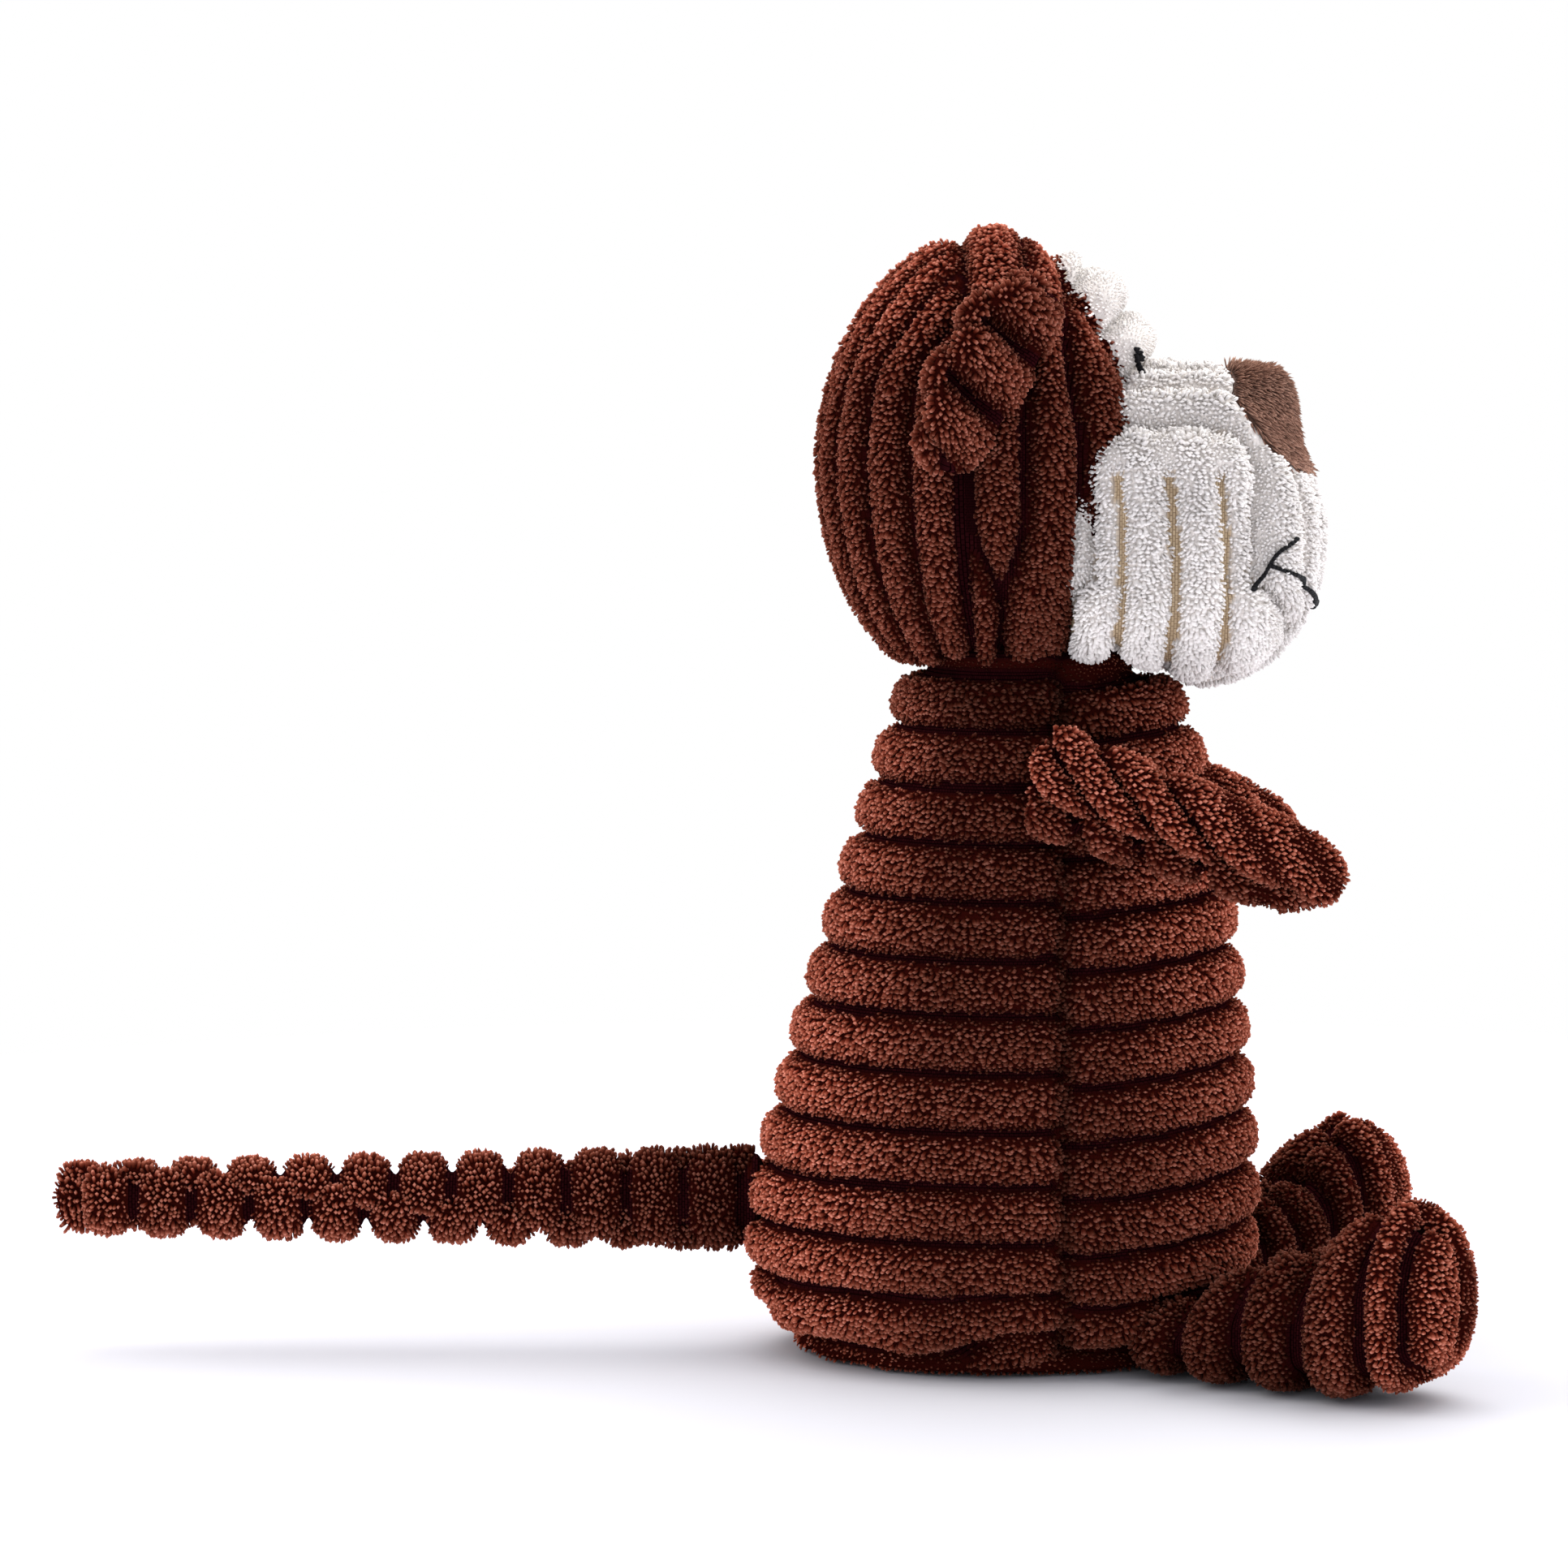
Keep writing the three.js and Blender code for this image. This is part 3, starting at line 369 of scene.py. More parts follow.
def pile_material(name, stops, tints, patch_mm, **shader):
    """Chenille pile of polyester yarn: each tuft is painted dark at its root as shade deep in the pile and
    pale at its tip, no two quite alike, and the nap lies lighter or darker in patches; the fibres give a soft
    sheen at grazing angles, and each panel adds its painted light and shade."""
    material, tree, surface = new_material(name, **shader)
    yarn = add(tree, "Attribute", attribute_name="yarn")
    height = add(tree, "SeparateXYZ", {0: yarn.outputs["Vector"]})
    along = add(tree, "ValToRGB", {0: height.outputs["Z"]}, stops)
    shade = add(tree, "Attribute", attribute_name="shade")
    tint = add(tree, "ValToRGB", {0: shade.outputs["Fac"]}, tints)
    root_shade_and_tint = add(tree, "Mix", {"Factor": 1.0, "A": along, "B": tint}, data_type="RGBA", blend_type="MULTIPLY")
    place = add(tree, "TexCoord")
    nap = add(tree, "TexNoise", {
        "Vector": place.outputs["Object"], "Scale": 1 / (patch_mm * MM), "Detail": 2.0})
    patch = add(tree, "MapRange", {
        "Value": nap.outputs["Fac"], "From Min": 0.3, "From Max": 0.7, "To Min": 0.88, "To Max": 1.1})
    # Each panel's painted light, sheen and shade, as a factor on the colour.
    tone = add(tree, "Attribute", attribute_name="tone")
    light = add(tree, "Math", {0: patch, 1: tone.outputs["Fac"]}, operation="MULTIPLY")
    nap_and_painted_light = add(tree, "VectorMath", {0: root_shade_and_tint, "Scale": light}, operation="SCALE")
    stood = add(tree, "Attribute", attribute_name="nap")
    nap_way = add(tree, "VectorTransform", {0: stood.outputs["Vector"]},
                  vector_type="NORMAL", convert_from="OBJECT", convert_to="WORLD")
    facet = add(tree, "NewGeometry").outputs["Normal"]
    softened = add(tree, "Mix", {"Factor": 0.35, "A": facet, "B": nap_way}, data_type="VECTOR")
    feed(tree, surface, {"Base Color": nap_and_painted_light, "Normal": softened})
    return material


def backing_material(name, warp, weft, gap, roots, thread_mm, **shader):
    """Woven polyester backing, bare in the grooves: a plain weave whose threads show as rows of small bricks,
    with painted shade in the gaps between them.
    It is drawn a little coarser than the real thread. Under the pile the roots of the yarn hide it, in a
    colour that matches the painted shade at the tufts' roots."""
    material, tree, surface = new_material(name, **shader)
    weave = add(tree, "Attribute", attribute_name="weave")
    threads = add(tree, "TexBrick", {
        "Vector": weave.outputs["Vector"], "Color1": linear(warp), "Color2": linear(weft),
        "Mortar": linear(gap), "Scale": 1.0, "Mortar Size": 0.16 * thread_mm, "Mortar Smooth": 0.6,
        "Brick Width": 1.9 * thread_mm, "Row Height": thread_mm}, offset=0.5)
    relief = add(tree, "Bump", {
        "Strength": 0.6, "Distance": 0.15 * MM, "Height": threads.outputs["Fac"]}, invert=True)
    covered = add(tree, "Attribute", attribute_name="covered")
    cloth = add(tree, "Mix", {
        "Factor": covered.outputs["Fac"], "A": threads.outputs["Color"], "B": linear(roots)},
        data_type="RGBA")
    feed(tree, surface, {"Base Color": cloth, "Normal": relief})
    return material


def thread_material(name, dark, light, strand_mm):
    """Rayon embroidery thread: near-black twisted strands; the lighter bands along the twist are a painted
    sheen, over a dull shine along the stitches.
    """
    material, tree, surface = new_material(name, Roughness=0.6, Specular_IOR_Level=0.15)
    place = add(tree, "TexCoord")
    strands = add(tree, "TexWave", {
        "Vector": place.outputs["Object"], "Scale": 0.16 / (strand_mm * MM), "Distortion": 1.5},
        bands_direction="DIAGONAL").outputs["Fac"]
    # Painted sheen: lighter bands along the twisted strands.
    tone = add(tree, "ValToRGB", {0: strands}, [(0, dark), (1, light)])
    relief = add(tree, "Bump", {"Strength": 0.4, "Distance": 0.1 * MM, "Height": strands})
    feed(tree, surface, {"Base Color": tone, "Normal": relief})
    return material


def plastic_material(name, stops, mottle_mm):
    """Blow-moulded polyethylene of the squeaker: milky, a little cloudy, with a soft gloss."""
    material, tree, surface = new_material(name, Roughness=0.35, IOR=1.51)
    place = add(tree, "TexCoord")
    cloud = add(tree, "TexNoise", {
        "Vector": place.outputs["Object"], "Scale": 1 / (mottle_mm * MM), "Detail": 3.0})
    feed(tree, surface, {"Base Color": add(tree, "ValToRGB", {0: cloud.outputs["Fac"]}, stops)})
    return material


# The first ramp of each pile runs from painted shade at the roots to the tips' colour; the second tints each
# tuft at random.
BROWN_PILE = pile_material(
    "brown_cord_pile", [(0.0, "#300a05"), (0.4, "#4e1e14"), (0.78, "#6e3b2e"), (1.0, "#8f5f51")],
    [(0.0, "#b8a8a0"), (0.5, "#e0d2c8"), (1.0, "#ffffff")], 26, Roughness=0.9,
    Specular_IOR_Level=0.0, Sheen_Weight=0.25, Sheen_Roughness=0.4, Sheen_Tint=linear("#d0907a"))
CREAM_PILE = pile_material(
    "cream_cord_pile", [(0.0, "#dcd6cf"), (0.4, "#e9e5e0"), (1.0, "#f0ece8")],
    [(0.0, "#ecebea"), (0.5, "#f6f5f5"), (1.0, "#ffffff")], 18, Roughness=0.9,
    Specular_IOR_Level=0.2, Sheen_Weight=0.1, Sheen_Roughness=0.5)
NOSE_PILE = pile_material(
    "nose_velboa", [(0.0, "#3b2820"), (0.5, "#6f5042"), (1.0, "#93715f")],
    [(0.0, "#b5aaa4"), (0.5, "#dcd4cf"), (1.0, "#ffffff")], 9, Roughness=0.75,
    Specular_IOR_Level=0.3, Sheen_Weight=0.35, Sheen_Roughness=0.35, Sheen_Tint=linear("#d8b8a4"))
BROWN_BACKING = backing_material(
    "brown_woven_backing", "#2a0b0e", "#20070a", "#080001", "#2b0906", 0.6,
    Roughness=0.95, Specular_IOR_Level=0.0)
CREAM_BACKING = backing_material(
    "beige_woven_backing", "#cdb898", "#bfa888", "#8e785c", "#e2dcd6", 0.6,
    Roughness=0.85, Specular_IOR_Level=0.25)
NOSE_BACKING = backing_material(
    "nose_knit_backing", "#4a342a", "#412d24", "#241812", "#4a342a", 0.4,
    Roughness=0.9, Specular_IOR_Level=0.2)
BLACK_THREAD = thread_material("black_embroidery_thread", "#030304", "#101014", 0.5)
SQUEAKER = plastic_material("milky_polyethylene", [(0.3, "#d5dade"), (0.7, "#e8ecee")], 6)


# Pile

def tuft(name, width, thick, length, sides=4):
    """One blunt tuft of yarn standing on the origin, open at its root."""
    bm = bmesh.new()
    bmesh.ops.create_uvsphere(bm, u_segments=sides, v_segments=3, radius=0.5)
    bmesh.ops.delete(bm, geom=[min(bm.verts, key=lambda vert: vert.co.z)], context="VERTS")
    lowest = min(vert.co.z for vert in bm.verts)
    yarn = bm.verts.layers.float_vector.new("yarn")
    for vert in bm.verts:
        share = ((vert.co.z - lowest) / (0.5 - lowest)) ** 0.6
        wide = 0.8 if share == 0 else 1.0
        vert[yarn] = (2 * vert.co.x, 2 * vert.co.y, share)
        vert.co = Vector((vert.co.x * width * wide, vert.co.y * thick * wide, share * length)) * MM
    piece = to_object(bm, name)
    piece.hide_render = True
    return piece


CORD_TUFT = tuft("cord_tuft", 1.35, 0.85, 1.35)
FINE_TUFT = tuft("fine_tuft", 1.25, 0.75, 1.5)
LONG_TUFT = tuft("long_tuft", 1.0, 1.0, 1.7)
NAP_STRAND = tuft("nap_strand", 0.42, 0.42, 2.4, sides=3)
# For each kind of plush: its tuft, the least distance between tufts, how far they stray, and the material
CORD_TUFTS = (CORD_TUFT, 0.75, 0.55, BROWN_PILE)
SEAT_TUFTS = (CORD_TUFT, 1.1, 0.55, BROWN_PILE)
FOREHEAD_TUFTS = (FINE_TUFT, 0.62, 0.3, CREAM_PILE)
MUZZLE_TUFTS = (FINE_TUFT, 0.62, 0.45, CREAM_PILE)
EAR_TUFTS = (LONG_TUFT, 0.8, 0.4, BROWN_PILE)
TAIL_TUFTS = (LONG_TUFT, 0.8, 0.45, BROWN_PILE)
NOSE_TUFTS = (NAP_STRAND, 0.42, 0.35, NOSE_PILE)


def pile_nodes(yarn, panel, spacing, splay, seed):
    """Stands tufts on a cover, no two closer than the spacing, each with the nap and a little astray."""
    tree = bpy.data.node_groups.new(f"pile_{panel}", "GeometryNodeTree")
    for way in ("INPUT", "OUTPUT"):
        tree.interface.new_socket("Geometry", in_out=way, socket_type="NodeSocketGeometry")

    noted, drawn = "GeometryNodeInputNamedAttribute", "FunctionNodeRandomValue"
    stands = add(tree, noted, {"Name": panel}, data_type="FLOAT")
    roots = add(tree, "GeometryNodeDistributePointsOnFaces", {
        "Mesh": add(tree, "NodeGroupInput"), "Distance Min": spacing * MM,
        "Density Max": 5 / (spacing * MM) ** 2, "Density Factor": stands, "Seed": seed},
        distribute_method="POISSON")
    chart = add(tree, noted, {"Name": "OFBake"}, data_type="FLOAT_VECTOR")
    charted = add(tree, "GeometryNodeStoreNamedAttribute", {
        "Geometry": roots.outputs["Points"], "Name": "root", "Value": chart},
        data_type="FLOAT_VECTOR", domain="POINT")
    shade = add(tree, drawn, {"Seed": seed + 1}, data_type="FLOAT")
    shaded = add(tree, "GeometryNodeStoreNamedAttribute", {
        "Geometry": charted, "Name": "shade", "Value": shade}, data_type="FLOAT", domain="POINT")
    bare = add(tree, "GeometryNodeRemoveAttribute", {"Geometry": shaded, "Name": "OFBake"})
    nap = add(tree, noted, {"Name": "nap"}, data_type="FLOAT_VECTOR")
    astray = add(tree, drawn, {
        "Min": (-splay,) * 3, "Max": (splay,) * 3, "Seed": seed + 2}, data_type="FLOAT_VECTOR")
    lean = add(tree, "VectorMath", {0: nap, 1: astray}, operation="ADD")
    level = add(tree, "VectorMath", {0: lean, 1: (0, 0, 1)}, operation="CROSS_PRODUCT")
    stood = add(tree, "FunctionNodeAlignRotationToVector", {"Vector": lean}, axis="Z")
    stand = add(tree, "FunctionNodeAlignRotationToVector", {
        "Rotation": stood, "Vector": level}, axis="X", pivot_axis="Z")
    size = add(tree, noted, {"Name": "tuft"}, data_type="FLOAT")
    grown = add(tree, drawn, {
        "Min": (0.75, 0.75, 0.75), "Max": (1.2, 1.2, 1.25), "Seed": seed + 3}, data_type="FLOAT_VECTOR")
    scale = add(tree, "VectorMath", {0: grown, "Scale": size}, operation="SCALE")
    one = add(tree, "GeometryNodeObjectInfo", {"Object": yarn})
    tufts = add(tree, "GeometryNodeInstanceOnPoints", {
        "Points": bare, "Instance": one.outputs["Geometry"], "Rotation": stand, "Scale": scale})
    add(tree, "NodeGroupOutput", {0: add(tree, "GeometryNodeRealizeInstances", {"Geometry": tufts})})
    return tree


def pile_on(cover, panel, plush, seed, chart_mm):
    """The pile of one panel as a piece of its own. chart_mm is the real size of the cover's whole chart."""
    yarn, spacing, splay, material = plush
    pile = bpy.data.objects.new(f"{panel}_pile", cover.data.copy())
    bpy.context.scene.collection.objects.link(pile)
    pile.modifiers.new("pile", "NODES").node_group = pile_nodes(yarn, panel, spacing, splay, seed)
    applied(pile)
    mesh = pile.data
    mesh.materials.clear()
    mesh.materials.append(material)
    mesh.shade_smooth()
    root = read(mesh.attributes["root"].data, "vector", 3)
    local = read(mesh.attributes["yarn"].data, "vector", 3)
    spread = 0.42 * spacing / array(chart_mm)
    chart = root[:, :2] + stack(local[:, 0], 2 * local[:, 2] - 1) * spread
    corners = np.empty(len(mesh.loops), np.int32)
    mesh.loops.foreach_get("vertex_index", corners)
    layer = mesh.uv_layers.new(name="OFBake")
    layer.data.foreach_set("uv", chart[corners].astype(np.float32).ravel())
    mesh.attributes.remove(mesh.attributes["root"])
    return pile


# Torso

def torso_reach(height):
    """Reach of the rib crests from the torso's axis at a height: back, front and side."""
    rise = clamp01((height - BELLY_HEIGHT) / (TORSO_HEIGHT - BELLY_HEIGHT))
    sink = clamp01((BELLY_HEIGHT - height) / BELLY_HEIGHT)
    tuck = sqrt(1 - (SEAT_TUCK * sink) ** 2)
    back = tuck * lerp(BELLY_BACK, NECK_BACK, rise ** BACK_BOW)
    front = tuck * lerp(NECK_FRONT, BELLY_FRONT, sqrt(1 - rise ** FRONT_BOW))
    return back, front, tuck * lerp(BELLY_SIDE, NECK_SIDE, rise ** SIDE_BOW)


def inside_torso(points, margin):
    x, y, z = points.T
    back, front, side = torso_reach(z)
    ahead = where(x > 0, front, back) + margin
    return ((x / ahead) ** 2 + (y / (side + margin)) ** 2 < 1) & (z < TORSO_HEIGHT + margin)


def torso_place(turn, v):
    seat, neck = 0.14, 0.94      # shares of the fabric's length: the seat ends, and the neck's dome begins
    dome = clamp01((v - neck) / (1 - neck))
    height = TORSO_HEIGHT * clamp01((v - seat) / (neck - seat)) + NECK_CAP * dome
    size = minimum(clamp01(v / seat), sqrt(1 - dome ** 2))
    back, front, side = (reach - INSET for reach in torso_reach(height))
    x = -cos(turn)
    lift = SEAT_LIFT * (1 - clamp01(height / SEAT_ROUND))
    return stack(x * size * where(x > 0, front, back), sin(turn) * size * side, height + lift)


def torso_fabric(points):
    x, y, z = points.T
    ahead = x > SIDE_SEAM_X
    facing = arctan2(np.abs(y), x)
    gather = 1 - past(z, *HEM_GATHER)
    sag = where(ahead, FRONT_SAG * smooth(facing / 1.3), 0.0)
    wave = gather * (2.2 * sin(3.1 * facing + 0.6) + 1.2 * sin(7.3 * facing))
    across = z + sag + wave - SEAT_EDGE
    gap = from_groove(across / WALE, WALE)
    under = past(z, SEAT_Z, -0.8)
    below = rib(from_groove(y / WALE, WALE), WALE / 2, depth=SEAT_DEPTH)
    seam = np.abs(x - SIDE_SEAM_X) + AWAY * (z < 3)
    crumple = gather * (1 - under) * 1.6 * sin(5.2 * facing + 0.35 * z) * sin(0.55 * z + 2 * facing)
    # Painted sheen and light: the pile is lighter towards the front and back edges, where it is seen side-on,
    # and the front is lighter higher up.
    high = past(z, 45, 50)
    front_painted_light = grade(0.72, lerp(1.8, 2.5, high), cos(facing), 0.45, 0.55)
    back_painted_light = grade(lerp(0.9, 0.62, high), lerp(2.6, 1.9, high), -cos(facing), 0.32, 0.62)
    # Painted shade: darker in the grooves, along the side seam, and towards the neck under the head.
    shade = grade(0.5, 1.12, gap, 0, 3.2) * grade(0.4, 1.0, seam, 0.6, 3) * grade(1.0, 0.5, z, 124, 14)
    side = under < 0.5
    return dict(
        lift=lerp(rib(gap, WALE / 2), below, under) - 1.3 * hump(seam, 1.5) + crumple,
        bare=(gap < BARE) & (z > SEAT_Z + 1.1) | (z > TORSO_HEIGHT + 2.5),
        weave=(facing * 45, across), lean=(0, 0, -0.8),
        tuft=short_by(gap) * lerp(1.0, 0.6, under) * grade(1.0, 0.45, z, TORSO_HEIGHT - 2, 2),
        tone=shade * where(ahead, front_painted_light, back_painted_light),
        panels={
            "torso_back_right": ~ahead & side & (y < 0), "torso_back_left": ~ahead & side & (y >= 0),
            "torso_front": ahead & side, "torso_seat": ~side})


def make_torso():
    cover = skin("torso_cover", 84, 92, torso_place)
    x, _, z = points_of(cover).T
    neck = hump(z - TORSO_HEIGHT, 3) + (z > TORSO_HEIGHT)
    stuffed(cover, clamp01(hump(x - SIDE_SEAM_X, 3) * (z > 3) + neck + hump(z - SEAT_EDGE, 2)))
    sewn(cover, torso_fabric, BROWN_BACKING)
    off_floor(cover)
    panels = (
        ("torso_back_right", CORD_TUFTS, 11), ("torso_back_left", CORD_TUFTS, 16),
        ("torso_front", CORD_TUFTS, 21), ("torso_seat", SEAT_TUFTS, 31))
    return cover, [pile_on(cover, *panel, chart_mm=(290, 240)) for panel in panels]


# Head

def head_share(points, margin=0.0):
    """Distance from the head's middle as a share of its skin's: under 1 inside."""
    x, y, z = points[:, 0] - HEAD_X, points[:, 1], points[:, 2] - HEAD_Z
    ahead = where(x > 0, HEAD_FRONT, HEAD_BACK) + margin
    tall = where(z > 0, HEAD_UP, HEAD_DOWN) + margin
    return sqrt((x / ahead) ** 2 + (y / (HEAD_SIDE + margin)) ** 2 + (z / tall) ** 2)


def head_place(turn, v):
    neck, low = 0.07, math.radians(-58)     # share of the fabric across the neck, and the neck's latitude
    latitude = lerp(low, np.pi / 2, clamp01((v - neck) / (1 - neck)))
    x = -cos(turn)
    ahead = where(x > 0, HEAD_FRONT, HEAD_BACK) - INSET
    tall = where(latitude > 0, HEAD_UP, HEAD_DOWN) - INSET
    flat = 1 - HEAD_FLAT * clamp01(sin(2 * latitude)) * clamp01(-x)
    size = cos(latitude) * clamp01(v / neck) * flat
    return stack(HEAD_X + size * ahead * x, size * (HEAD_SIDE - INSET) * sin(turn),
                 HEAD_Z + tall * sin(latitude) * flat)


def face_depth(points):
    """How far a point is beyond the plane that cuts off the forehead panel."""
    tilt = math.radians(FACE_TILT)
    return (points[:, 0] - HEAD_X) * math.cos(tilt) + (points[:, 2] - HEAD_Z) * math.sin(tilt) - FACE_DEPTH


def head_fabric(points):
    x, y, z = points.T
    face = face_depth(points)
    crown = HEAD_X + CROWN_AHEAD * past(z, *CROWN_RISE)
    turn = np.degrees(arctan2(np.abs(y), crown - x))
    pitch = maximum(hypot(y, crown - x) * math.radians(HEAD_RIB_TURN), 1)
    back_gap = from_groove(turn / HEAD_RIB_TURN + 0.5, pitch)
    dart = past(z, DART_TOP, DART_Z - DART_TOP)
    rear, middle, fore = BAND_GROOVES
    rear = lerp(rear, DART_X, dart)
    lines = [rear, lerp(middle, DART_X, dart), fore - 3 * past(z, 184, 22)]
    band = x > rear
    band_gap = np.min([np.abs(x - line) for line in lines], axis=0)
    gap = where(band, band_gap, minimum(back_gap, rear - x))
    half = where(band, HEAD_RIB_HALF, maximum(minimum(pitch / 2, HEAD_RIB_HALF), 2.0))
    narrow = half / HEAD_RIB_HALF * (1 - 0.65 * past(z, 204, 16))
    strip = HEAD_RIB_DEEP * BARE * narrow
    brown = rib(gap, half, bare=strip, depth=HEAD_RIB_DEEP * RIB_DEPTH * narrow)
    rise = np.degrees(arctan2(z - HEAD_Z, x - HEAD_X))
    brow_gap = from_groove((rise - BROW_FROM) / BROW_TURN, WALE)
    brow = BROW_SWELL * sqrt(1 - (1 - clamp01(brow_gap / (WALE / 2))) ** 2) - BROW_SINK
    dimple = hump(np.linalg.norm(stack(x, np.abs(y), z) - array(EYE_AT), axis=1), EYE_DIMPLE)
    brow = lerp(brow, EYE_LIFT, dimple)
    cream = smooth(face / 2.5 + 0.4)
    hidden = (muzzle_share(points) < 0.84) | (z < TORSO_HEIGHT - 0.5)
    # Painted light on the brown: lighter on the crown and a little darker towards the face; painted shade
    # darker in the grooves.
    head_painted_light = grade(grade(0.95, 0.75, x, -16, 12), 2.3, z, 194, 25)
    brown_painted_light_and_shade = grade(0.45, 1.2, gap, 0.6, 0.55 * half) * head_painted_light
    return dict(
        lift=lerp(brown, brow, cream) - 1.6 * hump(face, 1.6),
        bare=(cream <= 0.5) & (gap < strip) | hidden, weave=(z, where(band, x, turn * 0.6)),
        lean=array((0, 0, -0.8)) * (1 - cream)[:, None],
        tuft=lerp(short_by(gap), grade(0.35, 0.52, brow_gap, 0, 2.5), cream),
        # Painted shade: the forehead's pile is darker in the grooves between its lumps.
        tone=lerp(brown_painted_light_and_shade, grade(0.8, 1.1, brow_gap, 0, 3), cream),
        panels={
            "head_back": ~band & (cream < 0.5), "head_front": band & (cream < 0.5), "forehead": cream >= 0.5})


def make_head():
    cover = skin("head_cover", 72, 56, head_place)
    points = points_of(cover)
    seam = hump(points[:, 0] - BAND_GROOVES[0], 3) + hump(face_depth(points), 3)
    stuffed(cover, clamp01(seam + (points[:, 2] < TORSO_HEIGHT + 1.5)))
    sewn(cover, head_fabric, BROWN_BACKING)
    cover.data.materials.append(CREAM_BACKING)
    centres = read(cover.data.polygons, "center", 3) / MM
    cover.data.polygons.foreach_set("material_index", (face_depth(centres) > 0).astype(np.int32))
    panels = (("head_back", CORD_TUFTS, 41), ("head_front", CORD_TUFTS, 51), ("forehead", FOREHEAD_TUFTS, 61))
    return cover, [pile_on(cover, *panel, chart_mm=(240, 150)) for panel in panels]


# Muzzle

def muzzle_size(behind, upward):
    """Half sizes of the muzzle over its greatest, at a distance behind its front, fuller towards the nose."""
    length = grade(MUZZLE_ROUND, MUZZLE_BROW, upward, 0.8, 0.2)
    front = clamp01(1 - behind / length)
    back = clamp01(1 - (MUZZLE_LENGTH - behind) / BACK_ROUND)
    return sqrt(1 - front ** MUZZLE_FULL) * (1 - BACK_TUCK * back ** 2)


def squared(value, upward):
    return sign(value) * np.abs(value) ** (2 / lerp(MUZZLE_SQUARE, BRIDGE_SQUARE, smooth(upward)))


def muzzle_share(points):
    """Distance from the muzzle's axis as a share of its skin's: under 1 inside."""
    behind = MUZZLE_FRONT - points[:, 0]
    y, z = points[:, 1] / MUZZLE_SIDE, (points[:, 2] - MUZZLE_Z) / MUZZLE_TALL
    around = (np.abs(y) ** MUZZLE_SQUARE + np.abs(z) ** MUZZLE_SQUARE) ** (1 / MUZZLE_SQUARE)
    size = muzzle_size(maximum(behind, 1e-3), z / maximum(around, 1e-6))
    return where((behind < 0) | (behind > MUZZLE_LENGTH), 9.0, around / maximum(size, 1e-3))


def off_torso(points, margin):
    """Lifts points clear of the chest through the whole turn of the head."""
    for _ in range(40):
        low = np.zeros(len(points), bool)
        for degrees in HEAD_TURNS:
            turned = to_world(placed((0, 0, 0), [("Z", degrees)]), points)
            low |= inside_torso(turned, margin)
        points[low, 2] += 0.5
    return points


def muzzle_place(turn, v):
    end = 0.94      # share of the fabric's length up to the muzzle's back, which closes it
    upward = sin(turn)
    behind = MUZZLE_LENGTH * clamp01(v / end) ** 1.7
    size = muzzle_size(behind, upward) * sqrt(1 - clamp01((v - end) / (1 - end)) ** 2)
    y = squared(cos(turn), upward) * (MUZZLE_SIDE - INSET) * size
    z = squared(upward, upward) * (where(upward > 0, MUZZLE_TALL, CHIN_TALL) - INSET) * size
    lean = NOSE_LEAN * smooth(z / 16) * smooth(1 - behind / 26)
    return stack(MUZZLE_FRONT - INSET - behind * (1 - INSET / MUZZLE_LENGTH) - lean, y, MUZZLE_Z + z)


def cheek_edge(height):
    """Distance of the cheek's seam from the middle: it runs in over the cheek and under the chin."""
    upper = grade(CHEEK_SEAM, BROW_SEAM, height, MUZZLE_Z + 4, 14)
    return grade(upper, CHIN_SEAM, height, MUZZLE_Z - 8, -16)


def muzzle_fabric(points):
    x, y, z = points.T
    aside = np.abs(y)
    edge = cheek_edge(z)
    cheek = aside > edge
    up = past(z, CHEEK_TOP - 3, 5)
    side_on = past(x, CHEEK_END, -3)
    bow = CHEEK_BOW * (1 - ((z - 158) / 22) ** 2)
    cheek_gap = from_groove((x - CHEEK_GROOVE - bow) / CHEEK_PITCH, CHEEK_PITCH)
    cheek_lift = rib(cheek_gap, CHEEK_PITCH / 2, bare=1.2, depth=CHEEK_DEPTH) * (1 - up) * side_on
    pitch = maximum(edge, 22) / CENTRE_RIBS
    centre_gap = from_groove(aside / pitch + 0.5, pitch)
    nose = past(x + 0.6 * (z - 190), 46, 5) * past(z, 180, 5)
    centre_lift = rib(centre_gap, pitch / 2, bare=CENTRE_BARE, depth=CENTRE_DEPTH) * (1 - 0.8 * nose)
    centre_lift = centre_lift * grade(1.0, 0.45, z, 147, -8)
    ribs = where(cheek, cheek_lift, centre_lift)
    cheek_bare = (cheek_gap < CHEEK_BARE) & (up < 0.5) & (side_on > 0.5)
    hidden = head_share(points, -9.0) < 1
    return dict(
        lift=ribs - 1.5 * hump(np.abs(aside - edge), 1.7) - 1.6 * nose,
        bare=where(cheek, cheek_bare, centre_gap < CENTRE_BARE) | hidden,
        weave=(z, x), lean=(0, 0, -0.5), tone=1.0,
        tuft=grade(0.7, 1.0, where(cheek, cheek_gap, centre_gap), 0.8, 2.5),
        panels={"muzzle_cheeks": cheek, "muzzle_centre": ~cheek})


def make_muzzle():
    cover = skin("muzzle_cover", 72, 48, muzzle_place)
    points = off_torso(points_of(cover), INSET + 1)
    set_points(cover, points)
    held = hump(np.abs(points[:, 1]) - cheek_edge(points[:, 2]), 2.5) + (head_share(points) < 0.9)
    stuffed(cover, clamp01(held))
    sewn(cover, muzzle_fabric, CREAM_BACKING)
    return cover


